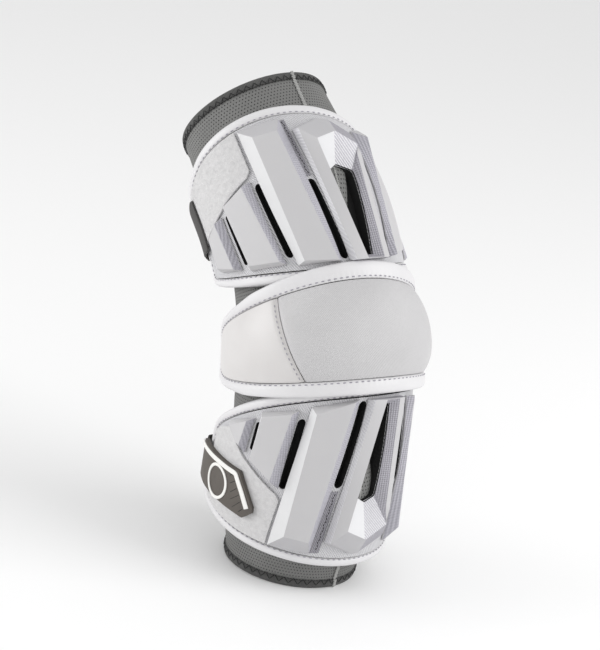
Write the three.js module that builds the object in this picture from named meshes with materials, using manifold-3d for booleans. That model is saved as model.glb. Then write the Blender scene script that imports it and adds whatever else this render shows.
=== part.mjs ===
// Lacrosse arm pad: a knitted sleeve with two ribbed shells, an elbow cap and two straps.
// Every piece is drawn in arm coordinates: along the bent arm from the elbow point (mm, positive
// up the upper arm), an angle around it (degrees, 0 over the elbow, negative on the strap-tab
// side) and a radius from the arm's centre line (mm). The pad stands upright on its lower hem.
import * as THREE from 'three';
import { mergeVertices } from 'three/addons/utils/BufferGeometryUtils.js';
import Module from 'manifold-3d';

const wasm = await Module();
wasm.setup();

// Arm and sleeve, in millimetres and degrees
const UPPER_REACH = 153;
const FOREARM_REACH = 153;
const UPPER_BEND = 32;
const UPPER_BEND_RUN = 90;
const FOREARM_BEND = 18;
const FOREARM_BEND_RUN = 80;
const SLEEVE_WALL = 2;
const HEM_WIDTH = 7.5;
const HEM_SWELL = 0.6;
const FIT = 0.35;
const BINDING_WIDTH = 6.5;
const BINDING_RISE = 1.2;
const RIB_LIP = 0.9;
const RIB_SEAT = 0.5;

// How far a flat facet of a wide piece dips below its true curve
const FLAT_SAG = 0.3;

// Outer radius of the sleeve at stations along the arm
const SLEEVE_STATIONS = [
  { along: -FOREARM_REACH, radius: 42 },
  { along: -145, radius: 42.7 },
  { along: -130, radius: 46.2 },
  { along: -110, radius: 49 },
  { along: -80, radius: 51 },
  { along: -45, radius: 52.3 },
  { along: 0, radius: 52 },
  { along: 40, radius: 50.2 },
  { along: 110, radius: 49.7 },
  { along: UPPER_REACH, radius: 50 },
];

// Outer radius of the foam shells at stations along the arm
const SHELL_STATIONS = [
  { along: -131, radius: 57 },
  { along: -115, radius: 58.5 },
  { along: -70, radius: 59.5 },
  { along: -22, radius: 60 },
  { along: 26, radius: 58 },
  { along: 70, radius: 57.5 },
  { along: 105, radius: 56 },
  { along: 130, radius: 54.5 },
];
const WING_FLARE = 3;
const WING_START = 95;

const rad = THREE.MathUtils.degToRad;
const cosd = (angle) => Math.cos(rad(angle));
const sind = (angle) => Math.sin(rad(angle));
const mix = THREE.MathUtils.lerp;
const step = THREE.MathUtils.smoothstep;

// Reads a station table at a place, with straight lines between its rows
function between(table, place, key, value) {
  if (place <= table[0][key]) return table[0][value];
  for (let row = 1; row < table.length; row += 1) {
    if (place <= table[row][key]) {
      const share = (place - table[row - 1][key]) / (table[row][key] - table[row - 1][key]);
      return mix(table[row - 1][value], table[row][value], share);
    }
  }
  return table[table.length - 1][value];
}

const sleeveRadius = (along) => between(SLEEVE_STATIONS, along, 'along', 'radius');

function shellRadius(along, angle) {
  const wing = step(Math.abs(angle - PAD_MIDDLE), WING_START, WING_START + 40);
  return between(SHELL_STATIONS, along, 'along', 'radius') + WING_FLARE * wing;
}

// A place on the arm as a point, before the pad is stood up: +X up the upper arm, the elbow
// towards -Y and the tab side towards +Z
function armPoint(along, angle, radius) {
  const upper = along >= 0;
  const bend = rad(upper ? UPPER_BEND : FOREARM_BEND);
  const run = upper ? UPPER_BEND_RUN : FOREARM_BEND_RUN;
  const direction = upper ? 1 : -1;
  const curved = Math.min(Math.abs(along), run);
  const straight = Math.abs(along) - curved;
  const turn = (bend * curved) / run;
  const forward = (run / bend) * Math.sin(turn) + straight * Math.cos(turn);
  const inward = (run / bend) * (1 - Math.cos(turn)) + straight * Math.sin(turn);
  const out = radius * cosd(angle);
  return new THREE.Vector3(
    direction * (forward + out * Math.sin(turn)),
    inward - out * Math.cos(turn),
    -radius * sind(angle),
  );
}

// The pad's own middle line turns a little round the arm from the elbow to each end
const PAD_MIDDLE = -4;
const UPPER = {
  name: 'upper',
  wrap: 138,
  corner: 6,
  middleNear: -3,
  middleFar: -5,
  near: (angle) => 26 + 6 * (1 - cosd(angle)),
  far: (angle) => 113.2 + 8.6 * cosd(angle) - 14.4 * sind(angle),
};
const LOWER = {
  name: 'lower',
  wrap: 130,
  corner: 6,
  middleNear: 2,
  middleFar: -5,
  near: (angle) => -22 - 8 * (1 - cosd(angle)) - 7.5 * (1 - cosd(angle)) ** 2,
  far: (angle) => -131.5 + 5.5 * (1 - cosd(angle)),
};
const CAP = {
  name: 'cap',
  wrap: 133,
  corner: 4,
  middleNear: -4,
  middleFar: -4,
  near: (angle) => -35.7 + 8.7 * cosd(angle) - sind(angle),
  far: (angle) => 21.7 + 12.5 * cosd(angle) - 5 * sind(angle),
};

const middleAt = (panel, share) => mix(panel.middleNear, panel.middleFar, share);
const alongAt = (panel, share, angle) => mix(panel.near(angle), panel.far(angle), share);

// A place given on the tab side, or its mirror image on the hidden side of the same panel
function place(panel, along, angle, side) {
  const share = (along - panel.near(angle)) / (panel.far(angle) - panel.near(angle));
  if (side < 0) return { along, angle, share };
  const mirrored = 2 * middleAt(panel, share) - angle;
  return { along: alongAt(panel, share, mirrored), angle: mirrored, share };
}

// A place inside a panel's rounded outline: across and up run from -1 to 1, inset is in mm
function panelPlace(panel, across, up, inset) {
  const radius = shellRadius(panel.near(0), 0);
  const half = (1 - Math.min(1, Math.abs(across) ** panel.corner)) ** (1 / panel.corner);
  const offset = across * (panel.wrap - THREE.MathUtils.radToDeg(inset / radius));
  const angle = middleAt(panel, 0.5) + offset;
  const length = Math.abs(panel.far(angle) - panel.near(angle));
  const share = 0.5 + up * half * (0.5 - inset / length);
  const turned = middleAt(panel, share) + offset;
  return { along: alongAt(panel, share, turned), angle: turned, share };
}

// Where the far edge of a panel lies at an angle, less an inset in mm
function panelEdge(panel, angle, inset) {
  const radius = shellRadius(panel.near(0), 0);
  const reach = panel.wrap - THREE.MathUtils.radToDeg(inset / radius);
  return panelPlace(panel, (angle - middleAt(panel, 1)) / reach, 1, inset);
}

// One closed solid from a grid of places with low and high radii. A looped grid closes round on
// itself along its columns.
function wrappedGeometry(grid, looped = false) {
  const corners = [];
  const top = grid.map((row) => row.map((spot) => armPoint(spot.along, spot.angle, spot.high)));
  const base = grid.map((row) => row.map((spot) => armPoint(spot.along, spot.angle, spot.low)));
  const rows = grid.length;
  const columns = grid[0].length;
  const quad = (a, b, c, d) => corners.push(a, b, c, a, c, d);
  const last = looped ? columns : columns - 1;
  for (let column = 0; column < last; column += 1) {
    const next = (column + 1) % columns;
    for (let row = 0; row + 1 < rows; row += 1) {
      quad(top[row][column], top[row][next], top[row + 1][next], top[row + 1][column]);
      quad(base[row][column], base[row + 1][column], base[row + 1][next], base[row][next]);
    }
    quad(top[0][next], top[0][column], base[0][column], base[0][next]);
    quad(top[rows - 1][column], top[rows - 1][next], base[rows - 1][next], base[rows - 1][column]);
  }
  if (!looped) {
    for (let row = 0; row + 1 < rows; row += 1) {
      quad(top[row][0], top[row + 1][0], base[row + 1][0], base[row][0]);
      quad(
        top[row + 1][last], top[row][last],
        base[row][last], base[row + 1][last],
      );
    }
  }
  return closedGeometry(corners);
}

// Joins loose triangle corners into one mesh, drops those with no area and turns faces outward
function closedGeometry(corners) {
  const loose = new THREE.BufferGeometry().setFromPoints(corners);
  const merged = mergeVertices(loose, 1e-4);
  const points = merged.getAttribute('position');
  const index = merged.getIndex().array;
  const kept = [];
  let volume = 0;
  const [a, b, c] = [new THREE.Vector3(), new THREE.Vector3(), new THREE.Vector3()];
  for (let at = 0; at < index.length; at += 3) {
    const [i, j, k] = [index[at], index[at + 1], index[at + 2]];
    if (i !== j && j !== k && k !== i) {
      kept.push(i, j, k);
      a.fromBufferAttribute(points, i);
      b.fromBufferAttribute(points, j);
      c.fromBufferAttribute(points, k);
      volume += a.dot(b.cross(c));
    }
  }
  merged.setIndex(volume < 0 ? kept.reverse() : kept);
  return merged;
}

function solidOf(geometry) {
  return new wasm.Manifold(new wasm.Mesh({
    numProp: 3,
    vertProperties: Float32Array.from(geometry.getAttribute('position').array),
    triVerts: Uint32Array.from(geometry.getIndex().array),
  }));
}

function geometryOf(solid) {
  const mesh = solid.getMesh();
  const geometry = new THREE.BufferGeometry();
  geometry.setAttribute('position', new THREE.BufferAttribute(mesh.vertProperties, 3));
  geometry.setIndex(new THREE.BufferAttribute(mesh.triVerts, 1));
  return geometry;
}

const pad = new THREE.Group();

function addPiece(name, geometry, look) {
  geometry.computeVertexNormals();
  const mesh = new THREE.Mesh(geometry, new THREE.MeshStandardMaterial(look));
  mesh.name = name;
  pad.add(mesh);
}

const LOOKS = {
  mesh: { color: 0x7c7c78, roughness: 0.95, metalness: 0 },
  hem: { color: 0x5c5c5b, roughness: 0.95, metalness: 0 },
  foam: { color: 0xd6d6d8, roughness: 0.6, metalness: 0 },
  rib: { color: 0xdcdcde, roughness: 0.5, metalness: 0 },
  leather: { color: 0xe6e5e6, roughness: 0.4, metalness: 0 },
  loop: { color: 0xd9d8d9, roughness: 0.95, metalness: 0 },
  elastic: { color: 0x55524e, roughness: 0.9, metalness: 0 },
  rubber: { color: 0x6b655f, roughness: 0.6, metalness: 0 },
  print: { color: 0xe8e7e4, roughness: 0.5, metalness: 0 },
};

// Shares from 0 to 1, drawn closer together towards both ends when eased
function shares(count, eased = false) {
  return Array.from({ length: count + 1 }, (_, at) => (
    eased ? (1 - Math.cos((Math.PI * at) / count)) / 2 : at / count
  ));
}

// Sleeve: one knitted tube and a folded hem at each end
const ROUND_SIDES = 30;

function tube(from, to, rows, swell, wall) {
  const turns = Array.from({ length: ROUND_SIDES }, (_, at) => (360 * at) / ROUND_SIDES);
  return wrappedGeometry(shares(rows).map((share) => {
    const along = mix(from, to, share);
    const high = sleeveRadius(along) + swell;
    return turns.map((angle) => ({ along, angle, high, low: high - wall }));
  }), true);
}

const HEM_JOIN = HEM_WIDTH + FIT;
const HEM_WALL = SLEEVE_WALL + 2 * HEM_SWELL;
addPiece('sleeve', tube(-FOREARM_REACH + HEM_JOIN, UPPER_REACH - HEM_JOIN, 13, 0, SLEEVE_WALL), LOOKS.mesh);
addPiece('sleeve_top_hem', tube(UPPER_REACH - HEM_WIDTH, UPPER_REACH, 1, HEM_SWELL, HEM_WALL), LOOKS.hem);
addPiece(
  'sleeve_bottom_hem',
  tube(-FOREARM_REACH, -FOREARM_REACH + HEM_WIDTH, 1, HEM_SWELL, HEM_WALL),
  LOOKS.hem,
);

// Binding: a rounded strip of leather folded over a panel's edge, all the way round it
const EDGE_COLUMNS = 22;
const PANEL_COLUMNS = shares(EDGE_COLUMNS, true).map((share, at) => (
  share + at / EDGE_COLUMNS - 1
));

function bindingLoop(panel, inset, low, high) {
  const there = PANEL_COLUMNS.map((across) => panelPlace(panel, across, 1, inset));
  const back = PANEL_COLUMNS.map((across) => panelPlace(panel, across, -1, inset));
  const loop = [...there, ...back.reverse().slice(1, -1)];
  return loop.map((spot) => ({ ...spot, low: low(spot), high: high(spot) }));
}

function binding(panel, width, low, face) {
  const profile = [
    { inset: 0, sink: 2.6 },
    { inset: 0.22 * width, sink: 0.4 },
    { inset: 0.6 * width, sink: 0 },
    { inset: width, sink: 0.9 },
  ];
  return wrappedGeometry(profile.map(({ inset, sink }) => (
    bindingLoop(panel, inset, low, (spot) => face(spot) - sink)
  )), true);
}

const shellSeat = (spot) => sleeveRadius(spot.along) + FIT + FLAT_SAG;
const shellFace = (spot) => shellRadius(spot.along, spot.angle);
const shellTrim = (spot) => shellFace(spot) + BINDING_RISE;

// Foam shells, cut through by the slots between their ribs and by the window of the chevron.
// Slots are given on the tab side, by the ends of their middle lines.
const SLOTS = {
  upper: [
    { near: 45, nearAngle: -84, far: 79, farAngle: -90, width: 3 },
    { near: 42, nearAngle: -53.2, far: 85, farAngle: -60.7, width: 4.8 },
    { near: 37, nearAngle: -20.3, far: 77, farAngle: -27, width: 5 },
  ],
  lower: [
    { near: -48, nearAngle: -78.2, far: -66, farAngle: -81.5, width: 3 },
    { near: -41.5, nearAngle: -50.5, far: -83, farAngle: -57.3, width: 5 },
    { near: -31, nearAngle: -15.5, far: -77, farAngle: -25, width: 5.2 },
  ],
};

// Corners of each chevron on the tab side, from the elbow to the middle of its head: its foot on
// the shell, the outer ridge, the crest or inner ridge, and the edge of its window
const CHEVRON = {
  upper: {
    foot: [[35.5, -19], [85, -24], [109, -26], [115, -10.5]],
    ridge: [[35.5, -16, 5], [83, -22, 5.6], [105, -24, 6], [112, -10.5, 4.5]],
    crest: [[36, -8, 5], [79, -16, 5.4], [94, -18, 10], [96.5, -11, 10]],
    window: [[38, -4.6], [77, -7.6], [79.5, -7.2], [80.5, -6]],
  },
  lower: {
    foot: [[-30, -13], [-88, -24], [-113, -26], [-121, -10.5]],
    ridge: [[-30, -10, 5], [-86, -21, 5.6], [-110, -23, 6], [-118, -10.5, 4.5]],
    crest: [[-30.5, -2, 5], [-82, -16, 5.4], [-101, -18, 10], [-105, -11, 10]],
    window: [[-34, 0.6], [-80, -7], [-83.5, -6.6], [-85, -5.8]],
  },
};
const CHEVRON_TIP = {
  upper: { foot: 35.5, ridge: 35.8, crest: 36.4, window: 38 },
  lower: { foot: -30, ridge: -30.3, crest: -31, window: -34 },
};
const CHEVRON_HEAD = {
  upper: { foot: 114, ridge: 111.4, crest: 97.5, window: 81 },
  lower: { foot: -121.3, ridge: -118.5, crest: -107.5, window: -85.6 },
};
const LEG_STEPS = 5;

// One line of the chevron all the way round its window
function chevronLine(panel, line) {
  const rows = CHEVRON[panel.name][line];
  const [bottom, shoulder] = rows;
  const leg = shares(LEG_STEPS).map((share) => bottom.map((value, at) => (
    mix(value, shoulder[at], share)
  )));
  const half = [...leg, ...rows.slice(2)];
  const onSide = (side) => half.map(([along, angle, height = 0]) => (
    { ...place(panel, along, angle, side), height }
  ));
  const onMiddle = (along, height) => {
    const middle = place(panel, along, middleAt(panel, 0.5), -1);
    return { along, angle: middleAt(panel, middle.share), share: middle.share, height };
  };
  const lift = { foot: 0, ridge: 4.5, crest: 10, window: 0 };
  const tip = onMiddle(CHEVRON_TIP[panel.name][line], lift[line] / 2);
  const head = onMiddle(CHEVRON_HEAD[panel.name][line], lift[line]);
  return [tip, ...onSide(-1), head, ...onSide(1).reverse()];
}

function slotCutter(panel, slot, side) {
  const outline = [-1, 1].map((edge) => shares(6, true).map((share) => {
    const end = Math.min(share, 1 - share) * Math.abs(slot.far - slot.near);
    const round = Math.sqrt(Math.max(0.02, 1 - Math.max(0, 1 - (2 * end) / slot.width) ** 2));
    const spot = place(
      panel, mix(slot.near, slot.far, share), mix(slot.nearAngle, slot.farAngle, share), side,
    );
    const face = shellFace(spot);
    const half = THREE.MathUtils.radToDeg((slot.width / 2) * round / face);
    return { along: spot.along, angle: spot.angle + edge * half, low: face - 16, high: face + 6 };
  }));
  return solidOf(wrappedGeometry(outline));
}

function windowCutter(panel) {
  const line = chevronLine(panel, 'window');
  const count = LEG_STEPS + 4;
  const left = line.slice(0, count + 1);
  const right = [line[0], ...line.slice(count).reverse()];
  const depth = (spot) => ({ ...spot, low: shellFace(spot) - 16, high: shellFace(spot) + 6 });
  const edges = [left.slice(1, -1), right.slice(1, -1)].map((edge) => edge.map(depth));
  return solidOf(wrappedGeometry(edges));
}

function shell(panel) {
  const inset = BINDING_WIDTH + FIT;
  const grid = shares(7).map((up) => PANEL_COLUMNS.map((across) => {
    const spot = panelPlace(panel, across, 2 * up - 1, inset);
    return { ...spot, low: shellSeat(spot), high: shellFace(spot) };
  }));
  let solid = solidOf(wrappedGeometry(grid));
  for (const slot of SLOTS[panel.name]) {
    solid = solid.subtract(slotCutter(panel, slot, -1));
    solid = solid.subtract(slotCutter(panel, slot, 1));
  }
  return geometryOf(solid.subtract(windowCutter(panel)));
}

// Moulded ribs: a foot on the shell and a smaller flat face, with bevelled flanks between them.
// Corners run near right, near left, far left, far right, as seen with the elbow below.
const RIBS = {
  upper: [
    {
      foot: [[36, -23.5], [40.5, -50], [121, -59.5], [118.5, -32]],
      face: [[36.3, -27, 6.5], [44, -45, 4.5], [110, -51, 7.5], [107.5, -37, 7.5]],
    },
    {
      foot: [[38.8, -56.2], [40.5, -80.5], [82.5, -87], [88, -64.3]],
      face: [[40.5, -58.5, 6], [42.5, -77, 6], [81.5, -83.8, 6], [85.5, -68, 6]],
    },
    {
      foot: [[42.5, -87.3], [47.5, -110.5], [73, -112.5], [79.8, -93.4]],
      face: [[44, -89.5, 5], [49.5, -106, 4.5], [71.5, -107.5, 4.5], [77, -96, 5]],
    },
  ],
  lower: [
    {
      foot: [[-30, -18], [-34.5, -45.5], [-121.5, -59.8], [-121.5, -34]],
      face: [[-30.3, -22.5, 6.5], [-37, -42.5, 6.5], [-110, -50, 7.5], [-111, -36.5, 7.5]],
    },
    {
      foot: [[-36.8, -52.5], [-40.8, -75.3], [-71.8, -80.3], [-83, -59.3]],
      face: [[-38.3, -55.3, 6], [-42.5, -72.3, 6], [-69.5, -77, 6], [-77.8, -63.3, 6]],
    },
    {
      foot: [[-45.8, -80.3], [-52.8, -101.5], [-66, -89.5], [-69, -85.3]],
      face: [[-47.5, -82.6, 5], [-55, -97.5, 4], [-62.8, -89.3, 5], [-63.8, -86.5, 5]],
    },
  ],
};

function corner(panel, values, side) {
  const [along, angle, height = 0] = values;
  return { ...place(panel, along, angle, side), height };
}

function blend(a, b, share) {
  return {
    along: mix(a.along, b.along, share),
    angle: mix(a.angle, b.angle, share),
    height: mix(a.height, b.height, share),
  };
}

function patch(corners, share, across) {
  const right = blend(corners[0], corners[3], share);
  const left = blend(corners[1], corners[2], share);
  return blend(right, left, across);
}

function rib(panel, shape, side) {
  const foot = shape.foot.map((values) => corner(panel, values, side));
  const face = shape.face.map((values) => corner(panel, values, side));
  const longSteps = 5;
  const wideSteps = 2;
  const rows = [...shares(longSteps)];
  const columns = [...shares(wideSteps)];
  const grid = [-1, ...rows, 2].map((share) => [-1, ...columns, 2].map((across) => {
    const outside = share < 0 || share > 1 || across < 0 || across > 1;
    const inShare = THREE.MathUtils.clamp(share, 0, 1);
    const inAcross = THREE.MathUtils.clamp(across, 0, 1);
    const spot = patch(outside ? foot : face, inShare, inAcross);
    const seat = shellFace(spot) + RIB_SEAT;
    return { ...spot, low: seat, high: seat + RIB_LIP + spot.height };
  }));
  return wrappedGeometry(grid);
}

function chevron(panel) {
  const lines = ['foot', 'ridge', 'crest', 'window'].map((line) => chevronLine(panel, line));
  const lift = (spot) => {
    const seat = shellFace(spot) + RIB_SEAT;
    return { ...spot, low: seat, high: seat + RIB_LIP + spot.height };
  };
  return wrappedGeometry(lines.map((line) => line.map(lift)), true);
}

// Loop-pile landing patches: they start along the rib ends and run to the binding
const LANDING_RISE = 1.5;
const LANDING = {
  upper: [
    { angle: -128, along: 72 },
    { angle: -118, along: 75.5 },
    { angle: -94, along: 82 },
    { angle: -87, along: 85 },
    { angle: -65, along: 90.5 },
    { angle: -61.5, along: 94 },
  ],
  lower: [
    { angle: -119, along: -67 },
    { angle: -112, along: -61.5 },
    { angle: -102.5, along: -57.5 },
    { angle: -90, along: -68.5 },
    { angle: -86, along: -72 },
    { angle: -81, along: -75 },
    { angle: -60, along: -87.5 },
    { angle: -57.5, along: -91 },
  ],
};
const LANDING_EDGE = 10;

function landing(panel) {
  const edge = LANDING[panel.name];
  const columns = [];
  for (let row = 0; row + 1 < edge.length; row += 1) {
    const steps = Math.ceil((edge[row + 1].angle - edge[row].angle) / LANDING_EDGE);
    for (let at = 0; at < steps; at += 1) {
      columns.push(mix(edge[row].angle, edge[row + 1].angle, at / steps));
    }
  }
  columns.push(edge[edge.length - 1].angle);
  const sign = Math.sign(panel.far(0));
  return wrappedGeometry(shares(3).map((share) => columns.map((angle) => {
    const top = panelEdge(panel, angle, BINDING_WIDTH + 2 * FIT);
    const near = between(edge, angle, 'angle', 'along');
    const beside = panel === LOWER ? 61.5 + 0.03 * (mix(near, top.along, share) + 121) : 61.5;
    const spot = {
      along: mix(near, top.along - sign * 0.4, share),
      angle: Math.min(angle, -mix(-edge[edge.length - 1].angle, beside, share)),
    };
    const seat = shellFace(spot) + FIT;
    return { ...spot, low: seat, high: seat + LANDING_RISE };
  })));
}

// Straps: each is sewn to the hidden wing and runs round the back of the sleeve to its tab.
// Angles run on past 180 degrees here, so that 360 + (-130) is 230.
const STRAP_WALL = 1.8;
const TAB_WALL = 3;
const STRAPS = {
  upper: { rootAngle: 112, rootAlong: 72, tabAngle: 221.6, tabAlong: 85, width: 28 },
  lower: { rootAngle: 103, rootAlong: -89, tabAngle: 231.1, tabAlong: -89.5, width: 26 },
};
const STRAP_SLOPE = 13;

function strapSeat(panel, along, angle) {
  const tabEdge = 360 + PAD_MIDDLE - panel.wrap;
  const rootEdge = PAD_MIDDLE + panel.wrap;
  const middle = 0.5 * (tabEdge + rootEdge);
  const behind = angle > middle;
  const wingFace = shellRadius(along, behind ? angle - 360 : angle) + BINDING_RISE + 2 * FIT;
  const outside = behind
    ? step(angle, tabEdge - STRAP_SLOPE, tabEdge - 2)
    : 1 - step(angle, rootEdge + 2, rootEdge + STRAP_SLOPE);
  const rootDrop = 1 - step(angle, rootEdge - 18, rootEdge - 10);
  const seat = wingFace - (behind ? 0 : BINDING_RISE * rootDrop);
  return mix(sleeveRadius(along) + FIT + FLAT_SAG, seat, outside);
}

function strap(panel) {
  const route = STRAPS[panel.name];
  const columns = shares(26);
  return wrappedGeometry(shares(1).map((across) => columns.map((share) => {
    const angle = mix(route.rootAngle, route.tabAngle, share);
    const middle = mix(route.rootAlong, route.tabAlong, share);
    const along = middle + (across - 0.5) * route.width;
    const low = strapSeat(panel, along, angle);
    return { along, angle, low, high: low + STRAP_WALL };
  })));
}

// Tabs: the near and far edges of each moulded tab at angles round the arm
const TABS = {
  upper: [
    { angle: -138, near: 68, far: 101 },
    { angle: -129, near: 66, far: 103 },
    { angle: -121, near: 64.5, far: 104.5 },
    { angle: -114.5, near: 65, far: 104 },
  ],
  lower: [
    { angle: -128.5, near: -75, far: -103 },
    { angle: -118, near: -77, far: -105 },
    { angle: -107, near: -78.5, far: -106 },
    { angle: -95, near: -79.5, far: -106.5 },
    { angle: -84, near: -80.5, far: -107.5 },
    { angle: -77, near: -91, far: -108.5 },
    { angle: -71.5, near: -100, far: -103.5 },
  ],
};
const tabSeat = (panel, along, angle) => {
  const landed = shellRadius(along, angle) + LANDING_RISE + 2 * FIT;
  return Math.max(landed, strapSeat(panel, along, angle + 360));
};

function tab(panel) {
  const grid = shares(3).map((share) => TABS[panel.name].map(({ angle, near, far }) => {
    const along = mix(near, far, share);
    const low = tabSeat(panel, along, angle);
    return { along, angle, low, high: low + TAB_WALL };
  }));
  return wrappedGeometry(grid);
}

// Light rubber inlays on the lower tab: a stripe along its pointed edge and a plain ring
const INLAY_WALL = 0.7;
const INLAY_SAG = 0.25;
const INLAYS = {
  lower: {
    stripe: [[-126, -78.3], [-115, -80], [-100, -81.6], [-86.5, -83.2], [-79, -93], [-75.5, -101]],
    ring: { along: -94, angle: -104, radius: 11 },
  },
};
const STRIPE_WIDTH = 2.4;
const RING_WIDTH = 1.8;
const RING_SIDES = 18;

function inlaySpot(panel, along, angle) {
  const low = tabSeat(panel, along, angle) + TAB_WALL + FIT + INLAY_SAG;
  return { along, angle, low, high: low + INLAY_WALL };
}

function stripe(panel) {
  const points = INLAYS[panel.name].stripe.map(([angle, along]) => {
    const arc = rad(angle) * shellRadius(along, angle);
    return new THREE.Vector2(arc, along);
  });
  const grid = [-0.5, 0.5].map((edge) => points.map((point, at) => {
    const before = points[Math.max(at - 1, 0)];
    const after = points[Math.min(at + 1, points.length - 1)];
    const along = after.clone().sub(before).normalize();
    const x = point.x - along.y * edge * STRIPE_WIDTH;
    const y = point.y + along.x * edge * STRIPE_WIDTH;
    const angle = THREE.MathUtils.radToDeg(x / shellRadius(y, INLAYS[panel.name].stripe[at][0]));
    return inlaySpot(panel, y, angle);
  }));
  return wrappedGeometry(grid);
}

function ring(panel) {
  const { along, angle, radius } = INLAYS[panel.name].ring;
  const face = shellRadius(along, angle) + LANDING_RISE + TAB_WALL;
  return wrappedGeometry([radius - RING_WIDTH, radius].map((reach) => (
    Array.from({ length: RING_SIDES }, (_, at) => {
      const turn = (360 * at) / RING_SIDES;
      const offset = THREE.MathUtils.radToDeg((reach * cosd(turn)) / face);
      return inlaySpot(panel, along + reach * sind(turn), angle + offset);
    })
  )), true);
}

for (const panel of [UPPER, LOWER]) {
  addPiece(`${panel.name}_shell`, shell(panel), LOOKS.foam);
  addPiece(
    `${panel.name}_binding`,
    binding(panel, BINDING_WIDTH, shellSeat, shellTrim),
    LOOKS.leather,
  );
  RIBS[panel.name].forEach((shape, at) => {
    addPiece(`${panel.name}_rib_left_${at + 1}`, rib(panel, shape, -1), LOOKS.rib);
    addPiece(`${panel.name}_rib_right_${at + 1}`, rib(panel, shape, 1), LOOKS.rib);
  });
  addPiece(`${panel.name}_chevron`, chevron(panel), LOOKS.rib);
  addPiece(`${panel.name}_landing`, landing(panel), LOOKS.loop);
  addPiece(`${panel.name}_strap`, strap(panel), LOOKS.elastic);
  addPiece(`${panel.name}_tab`, tab(panel), LOOKS.rubber);
}
addPiece('lower_tab_stripe', stripe(LOWER), LOOKS.print);
addPiece('lower_tab_ring', ring(LOWER), LOOKS.print);

// Elbow cap: a padded main panel and two side panels inside one binding
const CAP_BINDING_WIDTH = 8;
const CAP_COVER = 0.6;
const COVER_RAMP = 10;
const COVER_LEAD = 3;

// The cap rests on the sleeve and steps up over the edges of the shells that it covers
function capSeat(spot) {
  const onSleeve = sleeveRadius(spot.along) + FIT + FLAT_SAG;
  const overUpper = step(spot.along, UPPER.near(spot.angle) - COVER_RAMP, UPPER.near(spot.angle) - COVER_LEAD);
  const lowerEdge = LOWER.near(spot.angle);
  const overLower = 1 - step(spot.along, lowerEdge + COVER_LEAD, lowerEdge + COVER_RAMP);
  const over = Math.max(overUpper, overLower);
  return mix(onSleeve, Math.max(onSleeve, shellTrim(spot) + CAP_COVER), over);
}

const towardsPoint = (angle) => (1 + cosd(angle - 20)) / 2;

function capEdge(spot) {
  const point = towardsPoint(spot.angle);
  const nearEdge = 60.5 + 7 * point;
  const farEdge = 59.5 + 3 * point;
  return mix(nearEdge, farEdge, step(spot.share, 0, 1));
}

function capFace(spot, up, across) {
  const crown = (1 - Math.abs(up) ** 2.4) * (1 - Math.abs(across) ** 5);
  return capEdge(spot) - 0.6 + (2.5 + 4 * towardsPoint(spot.angle)) * crown;
}

// The seams lean towards the elbow point at the lower edge
const seamAngle = (up) => 57 + 8 * up - 4 * up ** 2;
const CAP_ROWS = shares(7).map((share) => 2 * share - 1);

function capPanel(fromShare, toShare, columns) {
  const inset = CAP_BINDING_WIDTH + FIT;
  return wrappedGeometry(CAP_ROWS.map((up) => shares(columns).map((share) => {
    const across = mix(fromShare(up), toShare(up), share);
    const spot = panelPlace(CAP, across, up, inset);
    return { ...spot, low: capSeat(spot), high: capFace(spot, up, across) };
  })));
}

const seamShare = (up) => seamAngle(up) / CAP.wrap;
const SEAM_GAP = 0.004;
addPiece(
  'cap_main',
  capPanel((up) => -seamShare(up) + SEAM_GAP, (up) => seamShare(up) - SEAM_GAP, 12),
  LOOKS.leather,
);
addPiece('cap_side_left', capPanel((up) => -seamShare(up), () => -1, 6), LOOKS.leather);
addPiece('cap_side_right', capPanel((up) => seamShare(up), () => 1, 6), LOOKS.leather);
addPiece('cap_binding', binding(CAP, CAP_BINDING_WIDTH, capSeat, capEdge), LOOKS.leather);

// Standing upright: the forearm turns level with the X axis, then up to the Z axis
pad.rotation.set(0, -Math.PI / 2, rad(FOREARM_BEND), 'YXZ');
pad.updateMatrixWorld(true);
const reach = new THREE.Box3().setFromObject(pad, true);
const middle = reach.getCenter(new THREE.Vector3());
pad.position.set(-middle.x, -middle.y, -reach.min.z);

export default pad;
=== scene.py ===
"""Lacrosse arm pad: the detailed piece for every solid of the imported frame, its materials, the
camera and the light. Places are given in arm coordinates as in the part's source: along the arm
from the elbow point (mm), an angle around it (degrees) and a radius from its centre line (mm)."""

import math
from dataclasses import dataclass
from typing import Callable

import bmesh
import bpy
import numpy as np
from mathutils import Matrix, Vector


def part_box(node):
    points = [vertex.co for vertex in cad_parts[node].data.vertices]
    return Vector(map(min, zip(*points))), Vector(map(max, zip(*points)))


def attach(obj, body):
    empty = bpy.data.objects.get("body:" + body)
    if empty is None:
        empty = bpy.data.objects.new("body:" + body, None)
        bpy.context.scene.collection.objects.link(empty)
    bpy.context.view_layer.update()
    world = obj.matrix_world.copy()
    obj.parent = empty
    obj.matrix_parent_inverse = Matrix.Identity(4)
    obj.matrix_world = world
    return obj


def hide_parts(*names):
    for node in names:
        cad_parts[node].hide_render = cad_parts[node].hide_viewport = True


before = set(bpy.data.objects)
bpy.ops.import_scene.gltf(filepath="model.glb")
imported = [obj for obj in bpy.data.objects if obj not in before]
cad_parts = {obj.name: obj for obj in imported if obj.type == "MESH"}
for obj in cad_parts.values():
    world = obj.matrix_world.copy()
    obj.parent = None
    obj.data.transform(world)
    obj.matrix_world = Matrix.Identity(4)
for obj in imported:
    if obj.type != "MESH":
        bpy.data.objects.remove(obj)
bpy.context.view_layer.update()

MM = 0.001

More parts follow.
